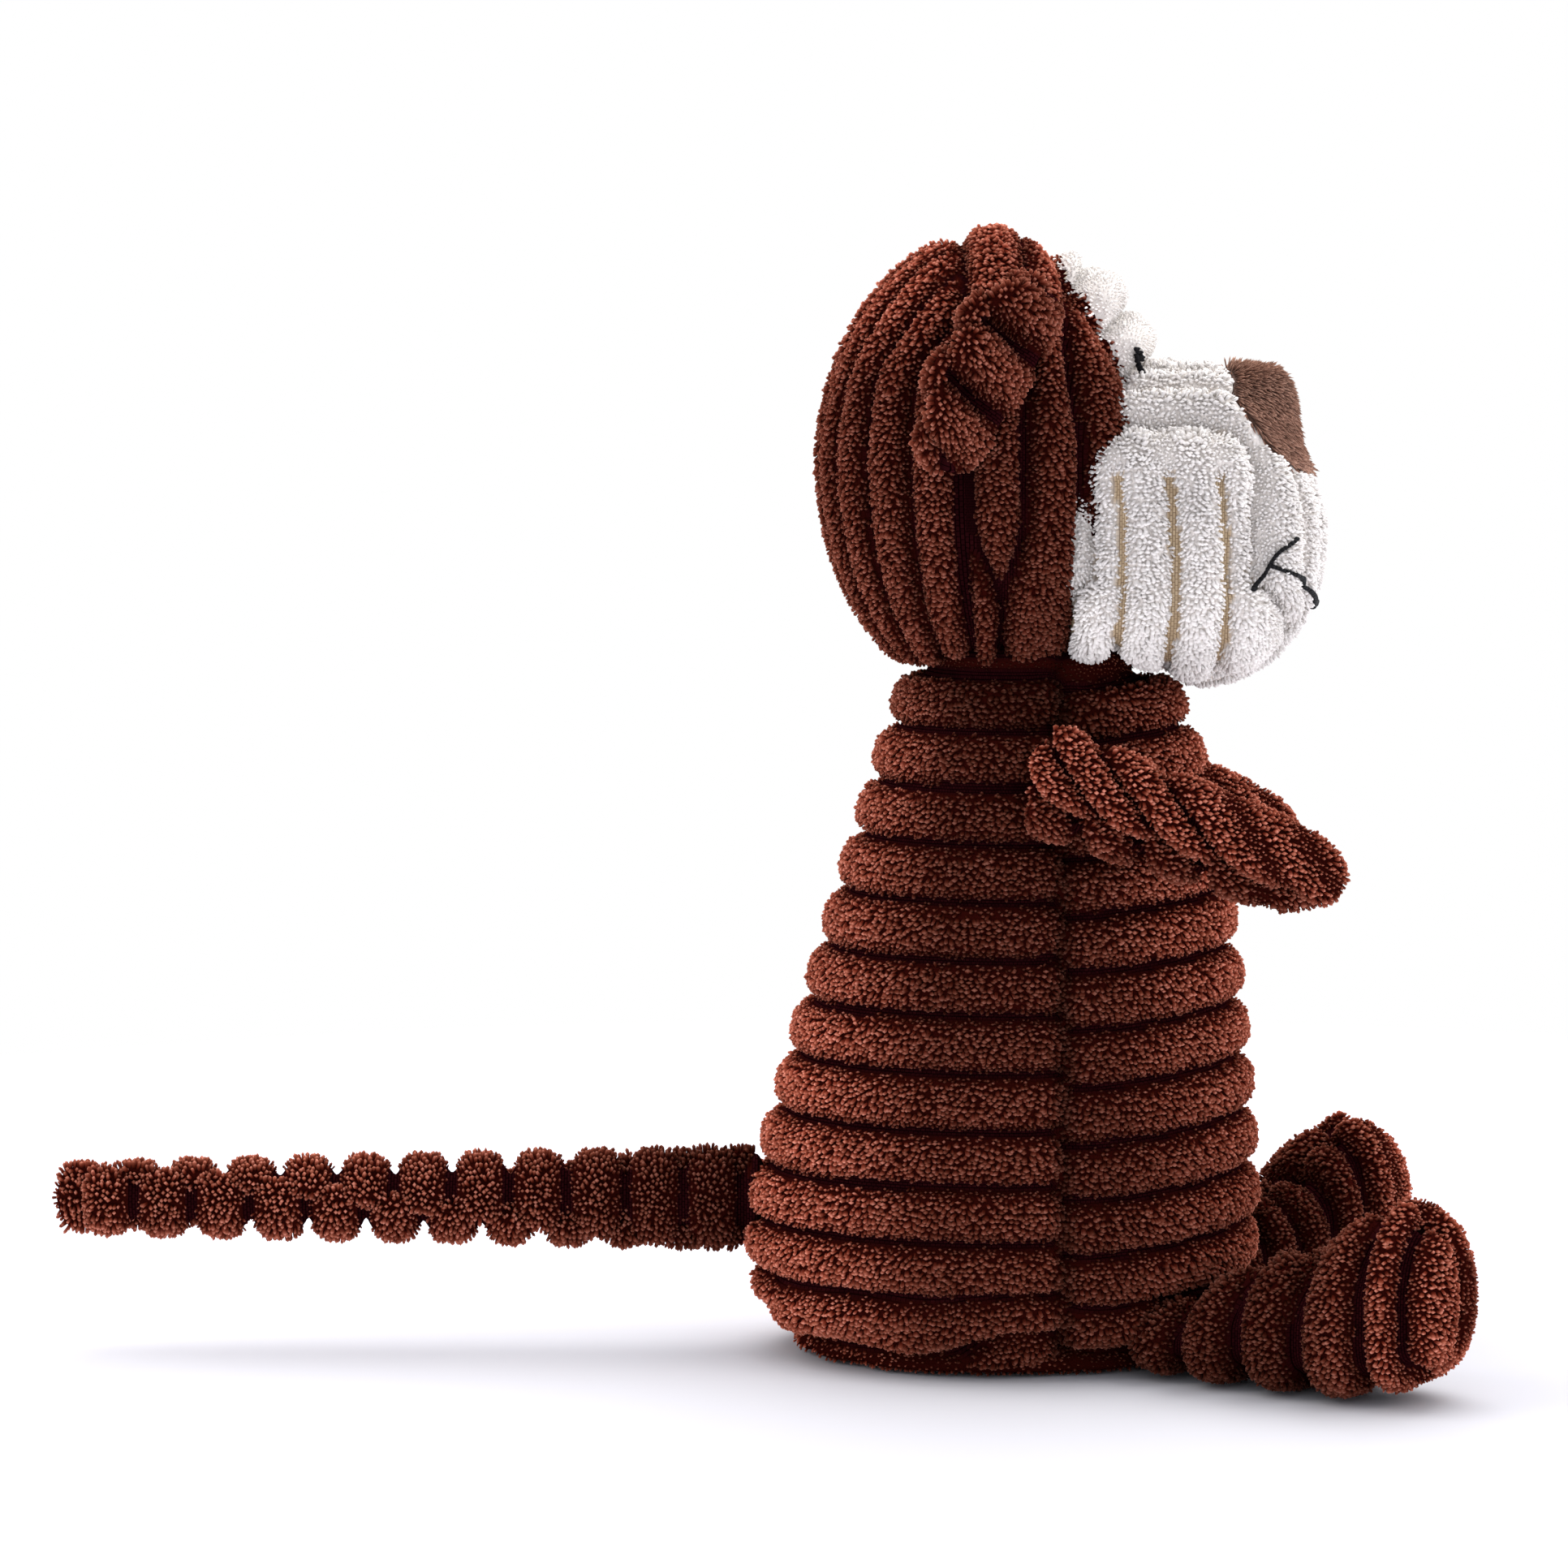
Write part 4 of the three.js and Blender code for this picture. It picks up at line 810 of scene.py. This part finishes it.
def muzzle_pile(cover, nose):
    """The muzzle's cream pile, left off where the nose patch lies on it."""
    patch = surface_of(nose)
    away = array([patch.find_nearest(Vector(point) * MM)[3] for point in points_of(cover)]) / MM
    piles = []
    for panel, seed in (("muzzle_cheeks", 71), ("muzzle_centre", 81)):
        stands = read(cover.data.attributes[panel].data, "value", 1)[:, 0]
        note(cover, panel, stands * (away > 1.2))
        piles.append(pile_on(cover, panel, MUZZLE_TUFTS, seed, chart_mm=(220, 110)))
    return piles


# Ears

def ear_frame(side):
    up = EAR_RISE / HEAD_UP
    root = (HEAD_X, side * HEAD_SIDE * math.sqrt(1 - up * up), HEAD_Z + EAR_RISE)
    return placed(root, [("Y", EAR_LEAN), ("Z", side * EAR_SWEEP), ("Y", -EAR_LIFT)])


def make_ear(name, side):
    limb = ear_frame(side)

    def place(turn, v):
        tilt = np.pi * (v - 0.5) * 0.99999
        out = (EAR_REACH - PILE_RISE) * cos(tilt) ** 0.7 * cos(turn)
        out = where(out < 0, 0.3 * out, out)
        thick = (EAR_THICK / 2 - PILE_RISE) * cos(tilt) ** 0.4 * sin(turn)
        return to_world(limb, stack(out, thick, (EAR_LENGTH / 2 - PILE_RISE) * sin(tilt)))

    def fabric(points):
        out, thick, along = to_local(limb, points).T
        layer = where(thick * limb[0, 1] > 0, 0.5, 0.0)
        gap = from_groove(along / EAR_PITCH + layer, EAR_PITCH)
        seam = np.abs(thick) + AWAY * (out < 6)
        ribs = rib(gap, EAR_PITCH / 2, depth=EAR_DEPTH) * past(out, -2, 8)
        return dict(
            lift=ribs - 3.4 * hump(seam, 1.6),
            bare=(gap < EAR_BARE) | (seam < 0.5) | (head_share(points, 0.5) < 1),
            weave=(out, along), lean=(0, 0, -0.25),
            # Painted shade: the pile is darker towards each groove.
            tuft=grade(0.5, 1.0, gap, EAR_BARE, 3), tone=grade(0.6, 1.45, gap, 1.5, 4),
            panels={name: 1.0})

    cover = skin(f"{name}_cover", 32, 28, place)
    finer(cover)
    sewn(cover, fabric, BROWN_BACKING)
    return cover, [pile_on(cover, name, EAR_TUFTS, 91 + side, chart_mm=(75, 60))]


# Arms

def along_limb(v, root, length, crowd, blunt):
    """Places along a limb, their shares of its length, and how full it is there: its ends are closed."""
    end = length - PILE_RISE
    at = lerp(root, end, 1 - (1 - v) ** crowd)
    share = clamp01(at / end)
    return at, share, sqrt(maximum(1 - share ** blunt, 0)) * sqrt(clamp01((at - root) / 1.5))


def arm_frame(side):
    _, front, aside = torso_reach(ARM_Z)
    surface = aside * math.sqrt(1 - (ARM_X / front) ** 2) + ARM_GAP
    return placed((ARM_X, side * surface, ARM_Z), [("Z", side * ARM_SPREAD), ("Y", ARM_DROOP)])


def make_arm(name, side):
    limb = arm_frame(side)

    def place(turn, v):
        at, share, size = along_limb(v, -2, ARM_LENGTH, crowd=1.3, blunt=10)
        tall = (lerp(ARM_ROOT, ARM_HAND, share) - LIMB_INSET) * size
        thick = (ARM_THICK * (0.75 + 0.25 * sin(np.pi * share)) - LIMB_INSET) * size
        return to_world(limb, stack(at, side * ARM_THICK / 2 + thick * cos(turn), tall * sin(turn)))

    def fabric(points):
        at, _, up = to_local(limb, points).T
        above = up - ARM_SEAM
        slant = at + where(above > 0, 1.3 * above, 0.5 * above + ARM_PITCH / 2)
        gap = from_groove((slant - ARM_GROOVE) / ARM_PITCH, ARM_PITCH) / 1.6
        ribbed = past(slant, ARM_GROOVE + 6, -4)
        pocket = hump(gap, 1.3) * hump(above, 3.5)
        seam = hump(above, 1.4) * past(at, 62, -8)
        return dict(
            lift=(rib(gap, 4, bare=0.5, depth=ARM_DEPTH) - 1.8 * pocket) * ribbed - 1.8 * seam,
            bare=(gap < lerp(0.8, 1.3, pocket)) & (ribbed > 0.5) | inside_torso(points, 0.0),
            weave=(up, at), lean=limb[:3, 0] * 0.6 + (0, 0, -0.3),
            tuft=grade(0.55, 1.0, gap, 0, 2.5),
            # Painted light and shade: lighter above the outer seam, on the arm's top, and darker in the
            # grooves.
            tone=grade(1.0, 2.0, above, -3, 8) * grade(0.7, 1.2, gap, 0, 3),
            panels={name: 1.0})

    cover = skin(f"{name}_cover", 36, 36, place)
    at, _, up = to_local(limb, points_of(cover)).T
    stuffed(cover, clamp01(hump(up - ARM_SEAM, 1.5) + (at < 2)), LIMB_SWELL)
    sewn(cover, fabric, BROWN_BACKING)
    return cover, [pile_on(cover, name, CORD_TUFTS, 101 + side, chart_mm=(62, 72))]


# Legs

def leg_frame(side):
    return placed((HIP_X, side * HIP_Y, HIP_HEIGHT), [("Z", side * LEG_SPLAY)])


def make_leg(name, side):
    limb = leg_frame(side)

    def place(turn, v):
        at, share, size = along_limb(v, -8, LEG_LENGTH, crowd=1.4, blunt=8)
        tall = LEG_ROOT_TALL + SHIN_RISE * smooth(share / 0.4) + FOOT_RISE * past(share, 0.45, 0.4)
        wide = lerp(LEG_ROOT_WIDE, FOOT_WIDE, sqrt(share))
        rise, across = sin(turn), cos(turn)
        sole = where(rise < 0, 0.6, 1.0)
        up = (tall / 2 - LIMB_INSET) * size * sign(rise) * np.abs(rise) ** sole
        aside = (wide / 2 - LIMB_INSET) * size * sign(across) * np.abs(across) ** sole
        return to_world(limb, stack(at, aside, tall / 2 - HIP_HEIGHT + up))

    def fabric(points):
        at, aside, up = to_local(limb, points).T
        outer = side * aside > 0
        toe = maximum(at - TOE_FROM, 0)
        pitch = where(outer, where(toe > 0, TOE_PITCH, LEG_PITCH), INNER_PITCH)
        outer_phase = (at - toe - LEG_GROOVE) / LEG_PITCH + toe / TOE_PITCH
        gap = from_groove(where(outer, outer_phase, (at - INNER_GROOVE) / INNER_PITCH), pitch)
        strip = where(outer, grade(1.8, 1.1, at, 48, 8) * (at < 58), 1.4 * (at < 50))
        seam = np.abs(aside) + AWAY * (up < 4)
        floor = past(points[:, 2], 2.5, -2)
        ribbed = (1 - 0.6 * floor) * past(at, where(outer, 61, 52), -3)
        return dict(
            lift=rib(gap, pitch / 2, bare=strip, depth=LEG_DEPTH) * ribbed - 1.8 * hump(seam, 1.6),
            bare=(gap < strip) | inside_torso(points, -1.5), weave=(up, at), lean=(0, 0, -0.5),
            tuft=short_by(gap - 0.8) * lerp(1.0, 0.6, floor),
            # Painted light and shade: darker towards the hip, lighter towards the foot, and darker in the
            # grooves.
            tone=grade(0.55, 2.2, at, 32, 25) * grade(0.55, 1.12, gap, strip, 2.5),
            panels={name: 1.0})

    cover = skin(f"{name}_cover", 44, 40, place)
    at, aside, up = to_local(limb, points_of(cover)).T
    stuffed(cover, clamp01(hump(aside, 1.5) * (up > 0) + (at < 1)), LIMB_SWELL)
    sewn(cover, fabric, BROWN_BACKING)
    off_floor(cover)
    return cover, [pile_on(cover, name, CORD_TUFTS, 111 + side, chart_mm=(110, 80))]


# Tail

def make_tail_layer(name, shift, flip, seed):
    length = TAIL_LOBES * TAIL_PITCH

    def place(turn, v):
        at = lerp(-6.0, length - PILE_RISE - TAIL_PITCH * shift, v)
        share = clamp01(at / length)
        phase = at / TAIL_PITCH + shift
        lobe = sqrt(clamp01(1 - (2 * np.abs(phase - np.round(phase - 0.5) - 0.5)) ** TAIL_FULL))
        size = lerp(TAIL_NIP, 1.0, lobe) * sqrt(clamp01(minimum(v, 1 - v) * 60))
        tall = (lerp(TAIL_ROOT, TAIL_TIP, share) - PILE_RISE) * size
        thick = (TAIL_THICK - PILE_RISE) * size
        seam = np.radians(TAIL_TWIST * (share - 0.5) + flip)
        bulge, width = where(sin(turn) > 0, sin(turn), 0.12 * sin(turn)), cos(turn)
        angle = seam + arctan2(bulge, width)
        radius = hypot(bulge, width)
        return stack(TAIL_X - at, -radius * thick * cos(angle), TAIL_Z + radius * tall * sin(angle))

    def fabric(points):
        at = TAIL_X - points[:, 0]
        gap = from_groove(at / TAIL_PITCH + shift, TAIL_PITCH)
        spread = points - stack(points[:, 0], 0.0, TAIL_Z)
        outward = spread / maximum(np.linalg.norm(spread, axis=1), 1.0)[:, None]
        return dict(
            lift=0.0, bare=(gap < 1.3) | inside_torso(points, 0.0), weave=(points[:, 2], at),
            lean=0.5 * outward, tuft=grade(0.55, 1.0, gap, 0.8, 3),
            # Painted light and shade: darker at the root by the body, lighter towards the tip, and darker in
            # the grooves.
            tone=grade(0.6, 1.7, at, 0, 60) * grade(0.7, 1.1, gap, 1, 3),
            panels={name: 1.0})

    cover = skin(f"{name}_cover", 28, 168, place)
    sewn(cover, fabric, BROWN_BACKING)
    return cover, [pile_on(cover, name, TAIL_TUFTS, seed, chart_mm=(44, 142))]


# Nose, eyes and mouth

def surface_of(cover):
    graph = bpy.context.evaluated_depsgraph_get()
    return BVHTree.FromObject(cover, graph)


def laid_on(tree, points, lift):
    """Points moved to the nearest place on a cover and lifted off it along its normal."""
    found = [tree.find_nearest(Vector(point) * MM) for point in points]
    lifts = np.broadcast_to(lift, len(points))
    return array([
        array(hit + normal * rise * MM) / MM for (hit, normal, _, _), rise in zip(found, lifts)])


def reach_along(path):
    return np.concatenate([[0], np.cumsum(np.linalg.norm(np.diff(path, axis=0), axis=1))])


def point_along(path, reached, at):
    return stack(*(np.interp(at, reached, path[:, axis]) for axis in range(3)))


def stitched_line(bm, path, radius, stitch_mm):
    """A row of satin stitches: short fat strands laid slantwise one after another along a path."""
    reached = reach_along(path)
    slant = Matrix.Rotation(math.radians(28), 4, "Z")
    shape = Matrix.Diagonal((0.75 * stitch_mm, 1.25 * radius, 0.8 * radius, 1))
    for at in np.arange(0, reached[-1], stitch_mm):
        here = point_along(path, reached, at)
        along = Vector(point_along(path, reached, at + 0.5) - here)
        if along.length < 1e-6:
            continue
        turn = along.to_track_quat("X", "Z").to_matrix().to_4x4()
        bmesh.ops.create_uvsphere(
            bm, u_segments=8, v_segments=6, radius=1.0,
            matrix=Matrix.Translation(Vector(here) * MM) @ turn @ slant @ Matrix.Scale(MM, 4) @ shape)


def embroidered(name, cover, paths, lift, thread):
    """Rows of stitches along paths laid on a cover, as one piece."""
    tree = surface_of(cover)
    bm = bmesh.new()
    for path in paths:
        stitched_line(bm, laid_on(tree, path, lift), *thread)
    piece = to_object(bm, name)
    piece.data.materials.append(BLACK_THREAD)
    return piece


def make_mouth(muzzle):
    across = linspace(-SMILE_HALF, SMILE_HALF, 41)
    bend = (across / SMILE_HALF) ** 2
    paths = [stack(SMILE_X - bend * SMILE_BACK, across, SMILE_Z + SMILE_RISE * bend)]
    for side in (-1, 1):
        x, y, z = (lerp(*ends, linspace(0, 1, 9)) for ends in DIMPLE_ENDS)
        paths.append(stack(x, side * y, z))
    return embroidered("mouth_embroidery", muzzle, paths, 1.4, MOUTH_THREAD)


def make_eye(name, side, head):
    paths = []
    for row in linspace(-1, 1, 9):
        half = EYE_HALF * math.sqrt(max(1 - row * row, 0.02)) * (1 - 0.35 * row)
        across = linspace(-half, half, 7)
        turn = np.radians(side * (EYE_TURN + 1.5 * row + 1.4 * across))
        far = EYE_REACH - 0.6 * row
        paths.append(stack(HEAD_X + far * cos(turn), far * sin(turn), EYE_AT[2] + EYE_TALL * row))
    return embroidered(f"eye_{name}_embroidery", head, paths, 1.2, EYE_THREAD)


def make_nose(muzzle):
    tree = surface_of(muzzle)
    reached = reach_along(NOSE_EDGE)

    def place(turn, v):
        share = minimum(2 * v, 2 - 2 * v)
        rim = 0.5 - 0.5 * cos(turn)
        outline = point_along(NOSE_EDGE, reached, rim * reached[-1])
        outline[:, 1] *= sign(sin(turn))
        points = lerp(NOSE_MIDDLE, outline, share[:, None])
        points += 0.4 * (points - NOSE_CORE) * (share * (1 - share))[:, None] * 4
        crown = where(v < 0.5, 0.0, 0.3 + 0.4 * sqrt(clamp01(1 - share ** 4)))
        return laid_on(tree, points, crown)

    def fabric(points):
        outward = points - NOSE_HEART
        outward /= np.linalg.norm(outward, axis=1)[:, None]
        down = array([0.55, 0.0, -0.85])
        return dict(
            lift=0.0, bare=0.0, weave=(points[:, 1], points[:, 2]),
            lean=1.8 * (down - np.sum(down * outward, axis=1)[:, None] * outward),
            tuft=1.0, tone=1.7,
            panels={"nose": 1.0})

    cover = skin("nose_patch_cover", 40, 24, place)
    sewn(cover, fabric, NOSE_BACKING)
    return cover, [pile_on(cover, "nose", NOSE_TUFTS, 121, chart_mm=(60, 60))]


# Assembly

def finish_cover(nodes):
    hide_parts(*nodes)


def fill_up(cover, piles, body, nodes):
    for piece in (cover, *piles):
        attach(piece, body)
    finish_cover(nodes)


def finish_stitches(piece, node):
    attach(piece, "head")
    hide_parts(node)


def sew_on(made, root, way, nodes):
    """Bakes where each of a limb's pieces stands into its mesh, and hides the parts it stands in for; root
    and way are not used.
    """
    cover, piles = made
    for piece in (cover, *piles):
        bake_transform(piece)
    finish_cover(nodes)


torso, torso_piles = make_torso()
fill_up(torso, torso_piles, "torso", (
    "torso_back_panel", "torso_front_panel", "torso_seat_panel", "torso_stuffing"))

head, head_piles = make_head()
fill_up(head, head_piles, "head", (
    "head_back_panel", "head_front_panel", "forehead_panel", "head_stuffing"))

muzzle = make_muzzle()
nose, nose_pile = make_nose(muzzle)
muzzle_piles = muzzle_pile(muzzle, nose)
fill_up(muzzle, muzzle_piles, "head", (
    "muzzle_cheek_right", "muzzle_cheek_left", "muzzle_centre_panel", "muzzle_stuffing"))

fill_up(nose, nose_pile, "head", ("nose_patch",))

finish_stitches(make_mouth(muzzle), "mouth_stitching")

for name, side in SIDES:
    finish_stitches(make_eye(name, side, head), f"eye_{name}")
    ear, arm, leg = (f"{part}_{name}" for part in ("ear", "arm", "leg"))
    for make, limb, parent, child, bend_mm, nodes, fill in (
            (make_ear, ear_frame(side), "head", ear, 6, ("front", "back"), 0.5),
            (make_arm, arm_frame(side), "torso", arm, 8, ("upper_panel", "lower_panel", "stuffing"), 0.7),
            (make_leg, leg_frame(side), "torso", leg, 12, ("outer_panel", "inner_panel", "stuffing"), 0.75)):
        sew_on(make(child, side), limb[:3, 3], limb[:3, 0],
               [f"{child}_{node}" for node in nodes])

for name, shift, flip, seed in (("tail_upper_layer", 0.0, 0, 131), ("tail_lower_layer", 0.5, 180, 141)):
    sew_on(make_tail_layer(name, shift, flip, seed),
           array((TAIL_X, 0, TAIL_Z)), array((-1, 0, 0)), (name,))

for yarn in (CORD_TUFT, FINE_TUFT, LONG_TUFT, NAP_STRAND):
    bpy.data.objects.remove(yarn)

for node in ("squeaker_bulb", "squeaker_reed"):
    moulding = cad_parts[node].data
    moulding.materials.clear()
    moulding.materials.append(SQUEAKER)


# Studio, in metres

FLOOR_SIZE, LIT_PAPER = 6.0, (0.54, 0.54, 0.568, 1.0)
CAMERA_AT, CAMERA_AIM = (-0.0444, -1.0, 0.204), (-0.0444, 0, 0.116)
SENSOR_MM, LENS_MM = 36, 113.37
SOFTBOXES = (  # place, aim, width, power and colour of each lamp
    ("left_softbox", (-0.75, 0.0, 0.7), (0, 0, 0.11), 0.9, 6.5, "#fffaf4"),
    ("right_softbox", (0.8, 0.0, 0.7), (0, 0, 0.11), 0.9, 4.5, "#fffaf4"),
    ("top_softbox", (0.12, 0.42, 1.0), (0, 0, 0.1), 1.3, 17, "#ffffff"))


def aimed(piece, place, aim):
    piece.location = place
    piece.rotation_euler = (Vector(aim) - Vector(place)).to_track_quat("-Z", "Y").to_euler()
    bpy.context.scene.collection.objects.link(piece)


def seen_as(tree, shown, felt):
    """What the camera sees, and what all other light meets."""
    camera_ray = add(tree, "LightPath").outputs["Is Camera Ray"]
    return add(tree, "MixShader", {0: camera_ray, 1: felt, 2: shown})


def make_floor():
    """White paper, lit near the toy so that its shadow shows, that fades out into the white all round."""
    bm = bmesh.new()
    bmesh.ops.create_grid(bm, x_segments=1, y_segments=1, size=FLOOR_SIZE)
    floor = to_object(bm, "floor")
    material, tree, surface = new_material("white_studio_floor")
    tree.nodes.remove(surface)
    paper = add(tree, "BsdfDiffuse", {"Color": linear("#f4f4fa")})
    lit = add(tree, "BsdfDiffuse", {"Color": LIT_PAPER})
    place = add(tree, "TexCoord")
    away = add(tree, "VectorMath", {0: place.outputs["Object"]}, operation="LENGTH")
    far = add(tree, "MapRange", {"Value": away.outputs["Value"], "From Min": 0.3, "From Max": 0.5})
    white = add(tree, "Emission", {"Color": linear("#ffffff")})
    fade = add(tree, "MixShader", {0: far, 1: lit, 2: white})
    feed(tree, tree.nodes["Material Output"], {"Surface": seen_as(tree, fade, paper)})
    floor.data.materials.append(material)


def make_light(name, place, aim, width, power, colour):
    lamp = bpy.data.lights.new(name, "AREA")
    lamp.size = width
    lamp.energy = power
    lamp.color = linear(colour)[:3]
    aimed(bpy.data.objects.new(name, lamp), place, aim)


def make_world():
    world = bpy.data.worlds.new("white_studio")
    bpy.context.scene.world = world
    world.use_nodes = True
    tree = world.node_tree
    tree.nodes.clear()
    fill = add(tree, "Background", {"Color": linear("#f6f7ff")})
    white = add(tree, "Background", {"Color": linear("#ffffff")})
    add(tree, "OutputWorld", {"Surface": seen_as(tree, white, fill)})


def make_camera():
    lens = bpy.data.cameras.new("camera")
    lens.sensor_width = SENSOR_MM
    lens.lens = LENS_MM
    camera = bpy.data.objects.new("camera", lens)
    aimed(camera, CAMERA_AT, CAMERA_AIM)
    bpy.context.scene.camera = camera


make_floor()
make_world()
for softbox in SOFTBOXES:
    make_light(*softbox)
make_camera()
bpy.context.scene.view_settings.view_transform = "Standard"
